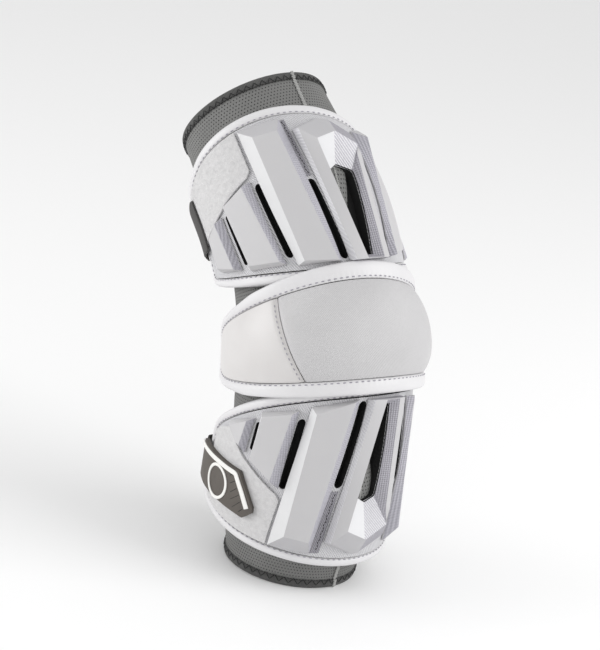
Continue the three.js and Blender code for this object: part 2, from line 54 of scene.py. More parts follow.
# Arm and sleeve, in millimetres and degrees
REACH = 153.0
UPPER_BEND, UPPER_RUN = 32.0, 90.0
FOREARM_BEND, FOREARM_RUN = 18.0, 80.0
SLEEVE_WALL = 2.0
HEM_WIDTH = 7.5
HEM_SWELL = 0.6
FIT = 0.35
FLAT_SAG = 0.3
BINDING_WIDTH = 6.5
BINDING_RISE = 1.2
CAP_BINDING_WIDTH = 8.0
RIB_LIP = 0.9
RIB_SEAT = 0.5
PAD_MIDDLE = -4.0
WING_FLARE = 3.0
WING_START = 95.0

SLEEVE_STATIONS = np.array(
    [
        (-153, 42), (-145, 42.7), (-130, 46.2), (-110, 49), (-80, 51),
        (-45, 52.3), (0, 52), (40, 50.2), (110, 49.7), (153, 50),
    ]
)
SHELL_STATIONS = np.array(
    [
        (-131, 57), (-115, 58.5), (-70, 59.5), (-22, 60),
        (26, 58), (70, 57.5), (105, 56), (130, 54.5),
    ]
)


def cosd(angle):
    return np.cos(np.radians(angle))


def sind(angle):
    return np.sin(np.radians(angle))


def mix(start, end, share):
    return start + (end - start) * share


def step(value, low, high):
    share = np.clip((value - low) / (high - low), 0, 1)
    return share * share * (3 - 2 * share)


def sleeve_radius(along):
    return np.interp(along, SLEEVE_STATIONS[:, 0], SLEEVE_STATIONS[:, 1])


def shell_seat(along, angle):
    return sleeve_radius(along) + FIT + FLAT_SAG


def shell_radius(along, angle):
    wing = step(np.abs(angle - PAD_MIDDLE), WING_START, WING_START + 40)
    return np.interp(along, SHELL_STATIONS[:, 0], SHELL_STATIONS[:, 1]) + WING_FLARE * wing


def bent_points(along, angle, radius):
    """Places on the arm as points in millimetres, before the pad is stood up."""
    along, angle, radius = np.broadcast_arrays(along, angle, radius)
    upper = along >= 0
    bend = np.radians(np.where(upper, UPPER_BEND, FOREARM_BEND))
    run = np.where(upper, UPPER_RUN, FOREARM_RUN)
    curved = np.minimum(np.abs(along), run)
    straight = np.abs(along) - curved
    turn = bend * curved / run
    forward = run / bend * np.sin(turn) + straight * np.cos(turn)
    inward = run / bend * (1 - np.cos(turn)) + straight * np.sin(turn)
    out = radius * cosd(angle)
    return np.stack(
        [
            np.where(upper, 1, -1) * (forward + out * np.sin(turn)),
            inward - out * np.cos(turn),
            -radius * sind(angle),
        ],
        axis=-1,
    )


def bent_places(points):
    """The inverse of bent_points: along, angle and radius of points in millimetres."""
    ahead, inward, aside = (points[..., axis] for axis in range(3))
    upper = ahead >= 0
    bend = np.radians(np.where(upper, UPPER_BEND, FOREARM_BEND))
    run = np.where(upper, UPPER_RUN, FOREARM_RUN)
    curl = run / bend
    forward = np.abs(ahead)
    turn = np.arctan2(forward, curl - inward)
    past = turn > bend
    beyond = forward - curl * np.sin(bend)
    below = inward - curl * (1 - np.cos(bend))
    straight = run + beyond * np.cos(bend) + below * np.sin(bend)
    along = np.where(past, straight, curl * turn) * np.where(upper, 1, -1)
    out = np.where(
        past,
        beyond * np.sin(bend) - below * np.cos(bend),
        np.hypot(forward, curl - inward) - curl,
    )
    return along, np.degrees(np.arctan2(-aside, out)), np.hypot(out, aside)


# Standing upright: the forearm turns level with the X axis, then up to the Z axis
TURN = np.array(
    Matrix.Rotation(math.radians(-90), 3, "Y")
    @ Matrix.Rotation(math.radians(FOREARM_BEND), 3, "Z")
)


def rest_shift():
    """How far the upright pad is moved, read from where the frame holds the top hem."""
    along = np.array([[REACH - HEM_WIDTH], [REACH]])
    rim = bent_points(along, np.arange(0, 360, 12.0), sleeve_radius(along) + HEM_SWELL) @ TURN.T
    low, high = (np.array(corner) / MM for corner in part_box("sleeve_top_hem"))
    flat = rim.reshape(-1, 3)
    return (low + high - flat.min(0) - flat.max(0)) / 2


SHIFT = rest_shift()


def arm_points(along, angle, radius):
    """Places on the arm as points of the row frame, in metres."""
    return (bent_points(along, angle, radius) @ TURN.T + SHIFT) * MM


@dataclass(frozen=True)
class Panel:
    """One padded panel: how far it wraps, its rounded corners and its edges along the arm."""

    name: str
    wrap: float
    corner: float
    middle_near: float
    middle_far: float
    near: Callable
    far: Callable

    def middle(self, share):
        return mix(self.middle_near, self.middle_far, share)

    def along(self, share, angle):
        return mix(self.near(angle), self.far(angle), share)

    def place(self, along, angle, side):
        """A place given on the tab side, or its mirror image on the hidden side."""
        share = (along - self.near(angle)) / (self.far(angle) - self.near(angle))
        if side < 0:
            return along, angle
        mirrored = 2 * self.middle(share) - angle
        return self.along(share, mirrored), mirrored

    def spot(self, across, height, inset):
        """A place inside the rounded outline, with its share of the panel's length."""
        radius = shell_radius(self.near(0), 0)
        offset = across * (self.wrap - np.degrees(inset / radius))
        angle = self.middle(0.5) + offset
        length = np.abs(self.far(angle) - self.near(angle))
        share = 0.5 + height * (0.5 - inset / length)
        turned = self.middle(share) + offset
        return self.along(share, turned), turned, share

    def inside(self, across, up, inset):
        """As spot, with up from -1 to 1 between the rounded edges."""
        half = (1 - np.minimum(1, np.abs(across) ** self.corner)) ** (1 / self.corner)
        return self.spot(across, up * half, inset)

    def edge(self, angle, inset):
        radius = shell_radius(self.near(0), 0)
        reach = self.wrap - np.degrees(inset / radius)
        return self.inside((angle - self.middle(1)) / reach, 1.0, inset)[:2]


UPPER = Panel(
    "upper", 138, 6, -3, -5,
    lambda a: 26 + 6 * (1 - cosd(a)),
    lambda a: 113.2 + 8.6 * cosd(a) - 14.4 * sind(a),
)
LOWER = Panel(
    "lower", 130, 6, 2, -5,
    lambda a: -22 - 8 * (1 - cosd(a)) - 7.5 * (1 - cosd(a)) ** 2,
    lambda a: -131.5 + 5.5 * (1 - cosd(a)),
)
CAP = Panel(
    "cap", 133, 4, -4, -4,
    lambda a: -35.7 + 8.7 * cosd(a) - sind(a),
    lambda a: 21.7 + 12.5 * cosd(a) - 5 * sind(a),
)


# Meshes

PATTERN_RADIUS = 58.0


def new_object(name, points, faces, pattern=None, turn=None):
    """A mesh of quads with outward faces. The pattern holds each vertex's place on the unrolled
    arm in millimetres, and turn is that place's length once round the arm."""
    mesh = bpy.data.meshes.new(name)
    mesh.from_pydata(points.reshape(-1, 3).tolist(), [], faces.tolist())
    work = bmesh.new()
    work.from_mesh(mesh)
    bmesh.ops.recalc_face_normals(work, faces=work.faces)
    work.to_mesh(mesh)
    work.free()
    if pattern is not None:
        corners = np.zeros(len(mesh.loops), np.int64)
        mesh.loops.foreach_get("vertex_index", corners)
        flat = pattern.reshape(-1, 2)[corners].reshape(-1, faces.shape[1], 2).copy()
        if turn:
            gap = flat[:, :, 0].max(1, keepdims=True) - flat[:, :, 0]
            flat[:, :, 0] += np.where(gap > turn / 2, turn, 0)
        mesh.uv_layers.new(name="arm").data.foreach_set("uv", flat.ravel())
    mesh.polygons.foreach_set("use_smooth", [True] * len(mesh.polygons))
    return add_object(name, mesh)


def add_object(name, data):
    obj = bpy.data.objects.new(name, data)
    bpy.context.scene.collection.objects.link(obj)
    return obj


def grid_faces(rows, columns, looped):
    """Quads of a closed solid whose top grid comes first and whose base grid follows it."""
    at = np.arange(rows * columns).reshape(rows, columns)
    if looped:
        at = np.hstack([at, at[:, :1]])
    under = at + rows * columns
    top = [at[:-1, :-1], at[:-1, 1:], at[1:, 1:], at[1:, :-1]]
    base = [under[:-1, :-1], under[1:, :-1], under[1:, 1:], under[:-1, 1:]]
    sides = [
        [at[0, 1:], at[0, :-1], under[0, :-1], under[0, 1:]],
        [at[-1, :-1], at[-1, 1:], under[-1, 1:], under[-1, :-1]],
    ]
    if not looped:
        sides.append([at[:-1, 0], at[1:, 0], under[1:, 0], under[:-1, 0]])
        sides.append([at[1:, -1], at[:-1, -1], under[:-1, -1], under[1:, -1]])
    return np.vstack([np.stack([c.ravel() for c in quad], axis=1) for quad in [top, base, *sides]])


def wrapped(name, along, angle, low, high, looped=False):
    """A closed piece from a grid of places with low and high radii."""
    along, angle, low, high = np.broadcast_arrays(along, angle, low, high)
    points = np.stack([arm_points(along, angle, high), arm_points(along, angle, low)])
    unrolled = np.stack([np.radians(angle) * PATTERN_RADIUS, along], axis=-1)
    rows, columns = along.shape
    return new_object(
        name,
        points,
        grid_faces(rows, columns, looped),
        np.stack([unrolled, unrolled]),
        2 * math.pi * PATTERN_RADIUS if looped else None,
    )


def paint_zones(obj, zones, rest=0, wall=0):
    """Gives a wrapped piece its material numbers: the top faces row by row, the wall beside the
    last row, and all the others."""
    numbers = np.full(len(obj.data.polygons), rest, np.int32)
    numbers[: zones.size] = zones.ravel()
    if wall:
        numbers[-zones.shape[1] :] = wall
    obj.data.polygons.foreach_set("material_index", numbers)


def soften(obj, width, segments=3, limit=22):
    """Rounds the edges of a piece."""
    rounding = obj.modifiers.new("rounded edges", "BEVEL")
    rounding.width = width * MM
    rounding.segments = segments
    rounding.limit_method = "ANGLE"
    rounding.angle_limit = math.radians(limit)
    rounding.harden_normals = False


def sharpen(obj, angle=40):
    obj.data.set_sharp_from_angle(angle=math.radians(angle))


def dress(obj, looks, slot, *nodes, fill=None):
    """Gives a piece its materials and its place in the frame, and hides the solids that it stands
    for.
    """
    for look in looks if isinstance(looks, list) else [looks]:
        obj.data.materials.append(look)
    if nodes:
        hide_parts(*nodes)
    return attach(obj, "root")


THREAD_RADIUS = 0.3
THREAD_SIDES = 6
THREAD_FLATNESS = 0.7
THREAD_RINGS = [
    # share of the length, share of the radius
    (0.0, 0.15), (0.12, 0.75), (0.3, 1.0), (0.7, 1.0), (0.88, 0.75), (1.0, 0.15),
]


def capsules(name, starts, ends, ups, radius):
    """Many short threads in one mesh: each runs from its start to its end and is flattened."""
    forward = ends - starts
    length = np.linalg.norm(forward, axis=1, keepdims=True)
    forward = forward / length
    aside = np.cross(forward, ups)
    aside /= np.linalg.norm(aside, axis=1, keepdims=True)
    raised = np.cross(aside, forward)
    points = []
    for share, swell in THREAD_RINGS:
        centre = starts + forward * length * share
        for turn in np.arange(THREAD_SIDES) * 2 * math.pi / THREAD_SIDES:
            lift = math.sin(turn) * swell * radius * THREAD_FLATNESS
            points.append(centre + aside * (math.cos(turn) * swell * radius) + raised * lift)
    points = np.stack(points, axis=1)
    ring = np.arange(points.shape[1]).reshape(-1, THREAD_SIDES)
    after = np.roll(ring, -1, axis=1)
    quads = np.stack([ring[:-1], after[:-1], after[1:], ring[1:]], axis=-1).reshape(-1, 4)
    threads = np.arange(len(starts)) * points.shape[1]
    return new_object(name, points, (quads[None] + threads[:, None, None]).reshape(-1, 4))


def spaced(along, angle, radius, pitch, closed=False):
    """Places at an even pitch along a line of places, with the count rounded to fit."""
    points = bent_points(along, angle, radius)
    if closed:
        points = np.vstack([points, points[:1]])
        along, angle, radius = (np.append(v, v[0]) for v in (along, angle, radius))
    travelled = np.concatenate(
        [[0], np.cumsum(np.linalg.norm(np.diff(points, axis=0), axis=1))]
    )
    count = max(2, round(travelled[-1] / pitch))
    wanted = np.arange(count + (0 if closed else 1)) * travelled[-1] / count
    return tuple(np.interp(wanted, travelled, v) for v in (along, angle, radius))


def stitch_row(name, along, angle, radius, size, look, slot, closed=False):
    """Running stitches that lie on a surface along a line of places. The size of a stitch is its
    pitch, its length and its thickness."""
    pitch, length, thickness = size
    radius = np.broadcast_to(radius, np.shape(along))
    fine = spaced(along, angle, radius, pitch / 8, closed)
    dense = arm_points(*fine)
    inner = arm_points(fine[0], fine[1], fine[2] - 1)
    count = len(dense) // 8
    reach = max(1, round(8 * length / pitch / 2))
    centres = np.arange(count) * 8 + 4
    starts, ends = dense[centres - reach], dense[(centres + reach) % len(dense)]
    ups = (dense - inner)[centres] / MM
    dress(capsules(name, starts, ends, ups, thickness * MM), look, slot)


# Materials


class Look:
    """A material made of nodes. Every size in it is in millimetres on the unrolled arm."""

    def __init__(self, name, roughness=0.6, **sockets):
        self.material = bpy.data.materials.new(name)
        self.material.use_nodes = True
        self.tree = self.material.node_tree
        self.shader = self.tree.nodes["Principled BSDF"]
        self.shader.inputs["Roughness"].default_value = roughness
        for socket, value in sockets.items():
            self.shader.inputs[socket.replace("_", " ")].default_value = value
        place = self.node("ShaderNodeUVMap", uv_map="arm")
        split = self.node("ShaderNodeSeparateXYZ")
        self.tree.links.new(place.outputs["UV"], split.inputs[0])
        self.place = place.outputs["UV"]
        self.across, self.along = split.outputs["X"], split.outputs["Y"]

    def node(self, kind, **settings):
        made = self.tree.nodes.new(kind)
        for name, value in settings.items():
            setattr(made, name, value)
        return made

    def feed(self, socket, value):
        if isinstance(value, bpy.types.NodeSocket):
            self.tree.links.new(value, socket)
        else:
            socket.default_value = colour(value) if isinstance(value, str) else value

    def math(self, operation, first, second=0.0, third=0.0):
        made = self.node("ShaderNodeMath", operation=operation)
        for socket, value in zip(made.inputs, (first, second, third)):
            self.feed(socket, value)
        return made.outputs[0]

    def total(self, *terms):
        """The sum of terms, each a value or a (value, factor) pair."""
        result = 0.0
        for term in terms:
            value, factor = term if isinstance(term, tuple) else (term, 1.0)
            result = self.math("MULTIPLY_ADD", value, factor, result)
        return result

    def smooth(self, value, low, high):
        made = self.node("ShaderNodeMapRange", interpolation_type="SMOOTHSTEP")
        self.feed(made.inputs["Value"], value)
        made.inputs["From Min"].default_value = low
        made.inputs["From Max"].default_value = high
        return made.outputs["Result"]

    def noise(self, size, detail=2.0, stretch=(1, 1, 1), solid=False):
        """Noise with grains of about that size, on the unrolled arm or in space."""
        made = self.node("ShaderNodeTexNoise")
        scaling = self.node("ShaderNodeMapping")
        here, unit = self.place, 1
        if solid:
            here, unit = self.node("ShaderNodeTexCoord").outputs["Object"], 1000
        self.tree.links.new(here, scaling.inputs["Vector"])
        scaling.inputs["Scale"].default_value = [unit * s / size for s in stretch]
        self.tree.links.new(scaling.outputs[0], made.inputs["Vector"])
        made.inputs["Scale"].default_value = 1.0
        made.inputs["Detail"].default_value = detail
        return made.outputs["Fac"]

    def wave(self, pitch, turn=0.0):
        """A smooth wave from -1 to 1 of that pitch, turned by an angle in degrees."""
        lean = self.total(
            (self.across, math.cos(math.radians(turn))),
            (self.along, math.sin(math.radians(turn))),
        )
        return self.math("SINE", self.math("MULTIPLY", lean, 2 * math.pi / pitch))

    def dots(self, across, along):
        """Distance in mm to the nearest point of a staggered lattice of that pitch."""
        best = None
        for offset in (0.0, 0.5):
            parts = []
            for value, pitch in ((self.across, across), (self.along, along)):
                turned = self.math("MULTIPLY_ADD", value, 1 / pitch, offset)
                near = self.math("SUBTRACT", self.math("FRACT", turned), 0.5)
                scaled = self.math("MULTIPLY", near, pitch)
                parts.append(self.math("MULTIPLY", scaled, scaled))
            distance = self.math("SQRT", self.total(*parts))
            best = distance if best is None else self.math("MINIMUM", best, distance)
        return best

    def blend(self, share, first, second):
        made = self.node("ShaderNodeMix", data_type="RGBA")
        self.feed(made.inputs["Factor"], share)
        for socket, value in ((made.inputs[6], first), (made.inputs[7], second)):
            self.feed(socket, value)
        return made.outputs[2]

    def finish(self, shade, height, depth):
        """The finished material, with relief of that depth in millimetres."""
        self.feed(self.shader.inputs["Base Color"], shade)
        bump = self.node("ShaderNodeBump")
        bump.inputs["Distance"].default_value = depth * MM
        bump.inputs["Strength"].default_value = 1.0
        self.feed(bump.inputs["Height"], height)
        self.tree.links.new(bump.outputs[0], self.shader.inputs["Normal"])
        return self.material


def colour(text):
    """A colour as seen on screen, such as "D6D6D8", as linear light with full cover."""
    levels = [int(text[at : at + 2], 16) / 255 for at in (0, 2, 4)]
    return [v / 12.92 if v <= 0.04045 else ((v + 0.055) / 1.055) ** 2.4 for v in levels] + [1.0]


def knit_mesh():
    look = Look("knitted mesh", roughness=0.9)
    # The holes are painted near black: painted shade seen through them.
    hole = look.math("SUBTRACT", 1.0, look.smooth(look.dots(2.6, 4.4), 0.26, 0.58))
    loops = look.total((look.wave(0.9, 62), 0.5), (look.wave(0.9, -62), 0.5))
    tone = look.noise(26, 3)
    yarn = look.blend(tone, "747473", "8C8C8B")
    fine = look.blend(look.math("MULTIPLY_ADD", loops, 0.25, 0.3), yarn, "5F5F5C")
    height = look.total((loops, 0.18), (hole, -1.0))
    return look.finish(look.blend(hole, fine, "141413"), height, 0.5)


def hem_knit():
    look = Look("hem knit", roughness=0.92)
    ribs = look.wave(1.15)
    loops = look.wave(0.8, 90)
    tone = look.total((ribs, 0.3), (look.noise(9, 3), 0.7))
    shade = look.blend(tone, "4A4A49", "6C6C6B")
    return look.finish(shade, look.total((ribs, 0.7), (loops, 0.3)), 0.25)


def moulded(name, light, dark, pattern=None, depth=0.22, grain=0.5):
    """Moulded foam with a thin fabric or film skin."""
    look = Look(name, roughness=0.55)
    speckle = look.noise(grain, 2)
    cloud = look.noise(17, 3)
    tone = look.total((speckle, 0.35), (cloud, 0.5))
    height = look.math("MULTIPLY", speckle, 0.3)
    if pattern == "diamond":
        weave = look.math("MULTIPLY", look.wave(1.5, 45), look.wave(1.5, -45))
        tone = look.total((tone, 0.6), (weave, 0.45), 0.15)
        height = look.total((height, 0.5), weave)
    elif pattern == "ribs":
        weave = look.wave(1.25, 38)
        tone = look.total((tone, 0.6), (weave, 0.4), 0.15)
        height = look.total((height, 0.5), weave)
    return look.finish(look.blend(tone, dark, light), height, depth)


def leather(name, light, dark, hatch=0.0, roughness=0.42):
    look = Look(name, roughness=roughness)
    grain = look.noise(0.55, 3, solid=True)
    cloud = look.noise(22, 2, solid=True)
    tone = look.total((grain, 0.4), (cloud, 0.6))
    height = look.math("MULTIPLY", grain, 0.6)
    if hatch:
        lines = look.wave(0.75, 35)
        tone = look.total(tone, (lines, hatch * 0.35))
        height = look.total(height, (lines, hatch))
    return look.finish(look.blend(tone, dark, light), height, 0.12)


def loop_pile():
    look = Look("loop pile", roughness=0.98, Sheen_Weight=0.3)
    blotch = look.noise(3.2, 4)
    fuzz = look.noise(0.45, 2, stretch=(1, 0.6, 1))
    tone = look.total((blotch, 0.7), (fuzz, 0.5), -0.1)
    shade = look.blend(tone, "B2B1B2", "E6E5E5")
    return look.finish(shade, look.total((blotch, 0.6), fuzz), 0.6)


def elastic():
    look = Look("strap elastic", roughness=0.85)
    ribs = look.wave(1.4, 90)
    weave = look.wave(0.8, 0)
    tone = look.total((ribs, 0.3), (weave, 0.2), (look.noise(12), 0.5), 0.1)
    shade = look.blend(tone, "3A3836", "5E5A56")
    return look.finish(shade, look.total((ribs, 0.7), (weave, 0.3)), 0.25)


def plain(name, light, dark, roughness, size, depth, detail=2, solid=False, cloud=None):
    """A plain surface of fine grains, with broad clouds of another size if wanted."""
    look = Look(name, roughness=roughness)
    tone = grain = look.noise(size, detail, solid=solid)
    if cloud:
        tone = look.total((grain, 0.5), (look.noise(cloud, 2), 0.5))
    return look.finish(look.blend(tone, dark, light), grain, depth)


MESH_LOOK = knit_mesh()
HEM_LOOK = hem_knit()
FOAM_LOOK = moulded("textile covered foam", "DCDCDD", "C6C5C9", "ribs")
# Near black: the real dark layer under the slots, and also painted shade on the foam's slot walls
# and the chevron's window wall.
LINING_AND_SHADE_LOOK = plain("dark lining", "1A1A1A", "0C0C0C", 0.95, 0.8, 0.2)
# Lit and shaded copies of one moulded rib foam that differ only in tone: the rib tops carry
# painted shade, the smooth flanks painted light, the end facets painted shade and the chevron's
# centre facet painted light.
SHADED_RIB_LOOK = moulded("moulded rib", "C3C2C3", "B9B8BA")
LIT_FLANK_LOOK = moulded("smooth rib flank", "DADADB", "CFCFD0")
SHADED_FACET_LOOK = moulded("rib end facet", "BEBDBF", "B2B1B4")
LIT_CENTRE_FACET_LOOK = moulded("chevron centre facet", "E2E2E4", "D8D8DA")
# The woven flank looks have a real diamond weave, and their darker lilac grey is painted shade on
# the flanks turned away from the light.
SHADED_WOVEN_FLANK_LOOK = moulded("woven rib flank", "C9C8CF", "A5A3AC", "diamond")
SHADED_WOVEN_LEG_LOOK = moulded("woven leg flank", "BDBBC2", "918F97", "diamond")
RIB_LINED_LOOK = moulded("lined leg flank", "DCDCDE", "CFCED2", "ribs", depth=0.1)
DIAGONAL_LOOK = moulded("lined chevron facet", "EDEDEF", "C6C4CC", "ribs")
STRIP_LOOK = moulded("woven strip", "ABA9B0", "85838A", "ribs")
BINDING_LOOK = leather("binding leather", "DDDCDD", "CFCED0")
CAP_LOOK = leather("cap leather", "C8C7C8", "BBBABB", hatch=0.6)
CAP_SIDE_LOOK = leather("cap side leather", "D3D1D0", "C6C3C2", roughness=0.34)
LOOP_LOOK = loop_pile()
ELASTIC_LOOK = elastic()
# The second rubber is a darker copy of the tab rubber, painted shade for the upper tab.
RUBBER_LOOK, SHADED_RUBBER_LOOK = (
    plain(*tones, 0.62, 0.5, 0.1, detail=3, cloud=14)
    for tones in (("tab rubber", "5E5852", "49443F"), ("shaded tab rubber", "3C3A39", "2B2928"))
)
PRINT_LOOK = plain("light inlay rubber", "F0EFEC", "DCDBD7", 0.5, 0.5, 0.08)
# The dark thread look serves the real dark stitches, and it also paints the shade in the tab's
# engraved grooves.
PALE_THREAD, DARK_THREAD_AND_SHADE, GREY_THREAD = (
    plain(f"{shade} thread", light, dark, 0.75, 0.35, 0.1, solid=True)
    for shade, light, dark in (
        ("pale", "A9A7AF", "85828D"), ("dark", "1D1D1D", "0A0A0A"), ("grey", "B5B5B3", "8D8D8B"),
    )
)


# Sleeve: one knitted tube and a folded hem at each end


SLEEVE_ROWS = 150
SLEEVE_SIDES = 220
HEM_ROWS = 12
HEM_SHOWN = 5.2
CUFF_START = 116
CUFF_DRAW = 1.9
CUFF_ROW_START, CUFF_ROW_GAP = 2.2, 1.9
ZIGZAG_LIFT, ZIGZAG_REACH = 0.45, 1.9
SEAM_WIDTH = 3.0
SEAM_SLANT = 3
SEAM_SPOTS = 30
SEAM_ANGLE = -3.0
SLEEVE_SEAMS = {
    # start and end along the arm, and the angle at the start
    "top": (REACH - 0.5, 120, SEAM_ANGLE),
    "bottom": (-REACH + 0.5, -128, 1.4),
}


def tube_places(start, end, rows):
    along = np.linspace(start, end, rows)[:, None]
    angle = (np.arange(SLEEVE_SIDES) * 360 / SLEEVE_SIDES)[None, :]
    return np.broadcast_arrays(along, angle)


def worn_radius(along):
    """The sleeve's radius with the top cuff drawn in."""
    return sleeve_radius(along) - CUFF_DRAW * step(along, CUFF_START, REACH)


def build_sleeve():
    join = REACH - HEM_SHOWN - FIT
    along, angle = tube_places(-join, join, SLEEVE_ROWS)
    high = worn_radius(along)
    sleeve = wrapped("knit_sleeve", along, angle, high - SLEEVE_WALL, high, looped=True)
    dress(sleeve, MESH_LOOK, "sleeve_mesh", "sleeve")
    hems = [
        build_hem("top_hem_band", "sleeve_top_hem", REACH - HEM_SHOWN, REACH),
        build_hem("bottom_hem_band", "sleeve_bottom_hem", -REACH, -REACH + HEM_SHOWN),
    ]


def build_hem(name, node, start, end):
    """A folded band: its wall swells in the middle and closes round at both edges."""
    along, angle = tube_places(start, end, HEM_ROWS)
    round_off = np.sqrt(np.clip(1 - np.linspace(-1, 1, HEM_ROWS) ** 4, 0.05, 1))[:, None]
    centre = worn_radius(along) + HEM_SWELL / 2 - SLEEVE_WALL / 2
    half = (SLEEVE_WALL / 2 + HEM_SWELL) * round_off
    hem = wrapped(name, along, angle, centre - half, centre + half, looped=True)
    return dress(hem, HEM_LOOK, "hem_knit", node)


def build_zigzag(name, along, count):
    """Dark zigzag stitches round the sleeve, over the edge of a hem band."""
    turns = np.arange(count) * 360 / count
    half = 180 / count
    bend = np.where(np.arange(count) % 2 == 0, 1, -1) * ZIGZAG_REACH
    lift = worn_radius(along) + HEM_SWELL + ZIGZAG_LIFT
    starts = arm_points(along - bend, turns - half, lift)
    ends = arm_points(along + bend, turns + half, lift)
    ups = (arm_points(along, turns, lift) - arm_points(along, turns, lift - 1)) / MM
    dress(capsules(name, starts, ends, ups, THREAD_RADIUS * MM), DARK_THREAD_AND_SHADE, "hem_knit")


def build_sleeve_seam():
    """The overlock seam from each rim to the panel beside it, and two rows of the cuff."""
    for name, (start, end, turn) in SLEEVE_SEAMS.items():
        along = np.linspace(start, end, SEAM_SPOTS)
        radius = worn_radius(along) + 0.6 + 0.5 * (np.abs(along) > REACH - HEM_SHOWN)
        angle = turn - SEAM_SLANT * np.linspace(0, 1, SEAM_SPOTS)
        crossing_seam(f"{name}_sleeve_seam", along, angle, radius, SEAM_WIDTH)
    for row in (0, 1):
        angle = np.linspace(SEAM_ANGLE - 2, 80, 80)
        along = UPPER.far(angle) + CUFF_ROW_START + CUFF_ROW_GAP * row
        radius = worn_radius(along) + 0.15
        name = f"cuff_row_{row + 1}"
        stitch_row(name, along, angle, radius, (2.0, 1.6, 0.3), GREY_THREAD, "sleeve_mesh")


# Foam shells with their slots and the window of the chevron

SLOTS = {
    "upper": [
        (45, -84, 79, -90, 3.0),
        (42, -53.2, 85, -60.7, 4.8),
        (37, -20.6, 77.5, -29.1, 5.2),
    ],
    "lower": [
        (-48, -78.2, -66, -81.5, 3.0),
        (-41.5, -50.5, -83, -57.3, 5.0),
        (-31, -14.6, -77, -24.8, 5.4),
    ],
}
CUT_DEPTH = 16.0
CUT_RISE = 6.0

# Each line of a chevron: the left leg towards the head, the head, then the right leg back
CHEVRON = {
    "upper": {
        "foot": [
            (35.5, -18.5, 0), (108.5, -26.9, 0), (112.9, -8.8, 0), (111.5, 0.3, 0),
            (102.4, 15, 0), (88, 12.2, 0), (35.5, 9.8, 0),
        ],
        "ridge": [
            (35.2, -16.1, 5.6), (105.4, -24.9, 5.6), (111.7, -8.8, 0.8), (110.3, 0.3, 0.8),
            (100.5, 13.6, 1.4), (85, 8.8, 5.6), (35.2, 7, 4.6),
        ],
        "crest": [
            (35.5, -9.2, 5.6), (93.7, -19, 9.6), (95.9, -8.2, 10.6), (95.7, -7, 10.6),
            (88, 6.2, 8), (84, 4.4, 6), (35.4, 2.8, 4.6),
        ],
        "window": [
            (37.5, -8.2, 0), (78.7, -16.2, 0), (81.3, -10, 0), (81.3, -9, 0),
            (77.9, 0.6, 0), (76, 1.5, 0), (37.5, -2.2, 0),
        ],
    },
    "lower": {
        "foot": [
            (-30, -12.4, 0), (-113.2, -26.3, 0), (-120.7, -8.6, 0), (-121.3, -1, 0),
            (-114, 20, 0), (-94, 16.5, 0), (-30.5, 15, 0),
        ],
        "ridge": [
            (-29.5, -10.3, 5.6), (-110.9, -24, 5.6), (-119.4, -8.6, 0.8), (-120, -1, 0.8),
            (-112, 18, 1.4), (-91, 12.4, 5.6), (-30.2, 12.2, 4.6),
        ],
        "crest": [
            (-30, -2.9, 5.6), (-100.7, -17.4, 9.6), (-106, -7, 10.6), (-106.1, -5.8, 10.6),
            (-99.8, 9.4, 8), (-88, 7.6, 6), (-30.4, 7.6, 4.6),
        ],
        "window": [
            (-33, -2, 0), (-80.7, -13.8, 0), (-85.5, -5.6, 0), (-85.5, -4.6, 0),
            (-82.3, 1.5, 0), (-80.5, 2.2, 0), (-33, 3.6, 0),
        ],
    },
}
LEG_STEPS = 16


def ridge_points(places):
    """Places with their height over the shell as points, to draw straight lines between."""
    along, angle, height = np.moveaxis(np.asarray(places, float), -1, 0)
    radius = shell_radius(along, angle) + RIB_SEAT + RIB_LIP + height
    return bent_points(along, angle, radius)


def over_shell(points):
    """Points as along, angle and height over the shell, never under a rib's lip."""
    along, angle, radius = bent_places(points)
    height = radius - shell_radius(along, angle) - RIB_SEAT - RIB_LIP
    return along, angle, np.maximum(height, 0)


def chevron_line(panel, line):
    """One line of the chevron all the way round its window: along, angle and height."""
    bends = ridge_points(CHEVRON[panel.name][line])
    share = np.linspace(0, 1, LEG_STEPS + 1)[:, None]
    left = mix(bends[0], bends[1], share)
    right = mix(bends[5], bends[6], share)
    return np.stack(over_shell(np.vstack([left, bends[2:5], right])), axis=1)


def cutter(name, along, angle):
    face = shell_radius(along, angle)
    return wrapped(name, along, angle, face - CUT_DEPTH, face + CUT_RISE)


def slot_cutter(panel, slot, side):
    near, near_angle, far, far_angle, width = slot
    share = (1 - np.cos(np.linspace(0, math.pi, 25))) / 2
    end = np.minimum(share, 1 - share) * abs(far - near)
    rounding = np.sqrt(np.clip(1 - np.clip(1 - 2 * end / width, 0, 1) ** 2, 0.01, 1))
    spots = [(near, near_angle), (far, far_angle)]
    ends = ridge_points([(*panel.place(*spot, side), 0) for spot in spots])
    along, angle, _ = over_shell(mix(ends[0], ends[1], share[:, None]))
    half = np.degrees(width / 2 * rounding / shell_radius(along, angle))
    return cutter(
        "slot cutter", np.stack([along, along]), np.stack([angle - half, angle + half])
    )


def window_cutter(panel):
    line = chevron_line(panel, "window")
    sides = np.stack([line[: LEG_STEPS + 2], line[LEG_STEPS + 3 :][::-1]])
    return cutter("window cutter", sides[..., 0], sides[..., 1])


def cut_away(obj, cutters):
    for tool in cutters:
        carving = obj.modifiers.new("cut", "BOOLEAN")
        carving.operation = "DIFFERENCE"
        carving.solver = "EXACT"
        carving.object = tool
    bpy.context.view_layer.update()
    seen = obj.evaluated_get(bpy.context.evaluated_depsgraph_get())
    carved = bpy.data.meshes.new_from_object(seen)
    obj.modifiers.clear()
    obj.data = carved
    for tool in cutters:
        bpy.data.objects.remove(tool)


SHELL_ROWS, SHELL_COLUMNS = 60, 200
COLUMN_CROWDING = 1.8


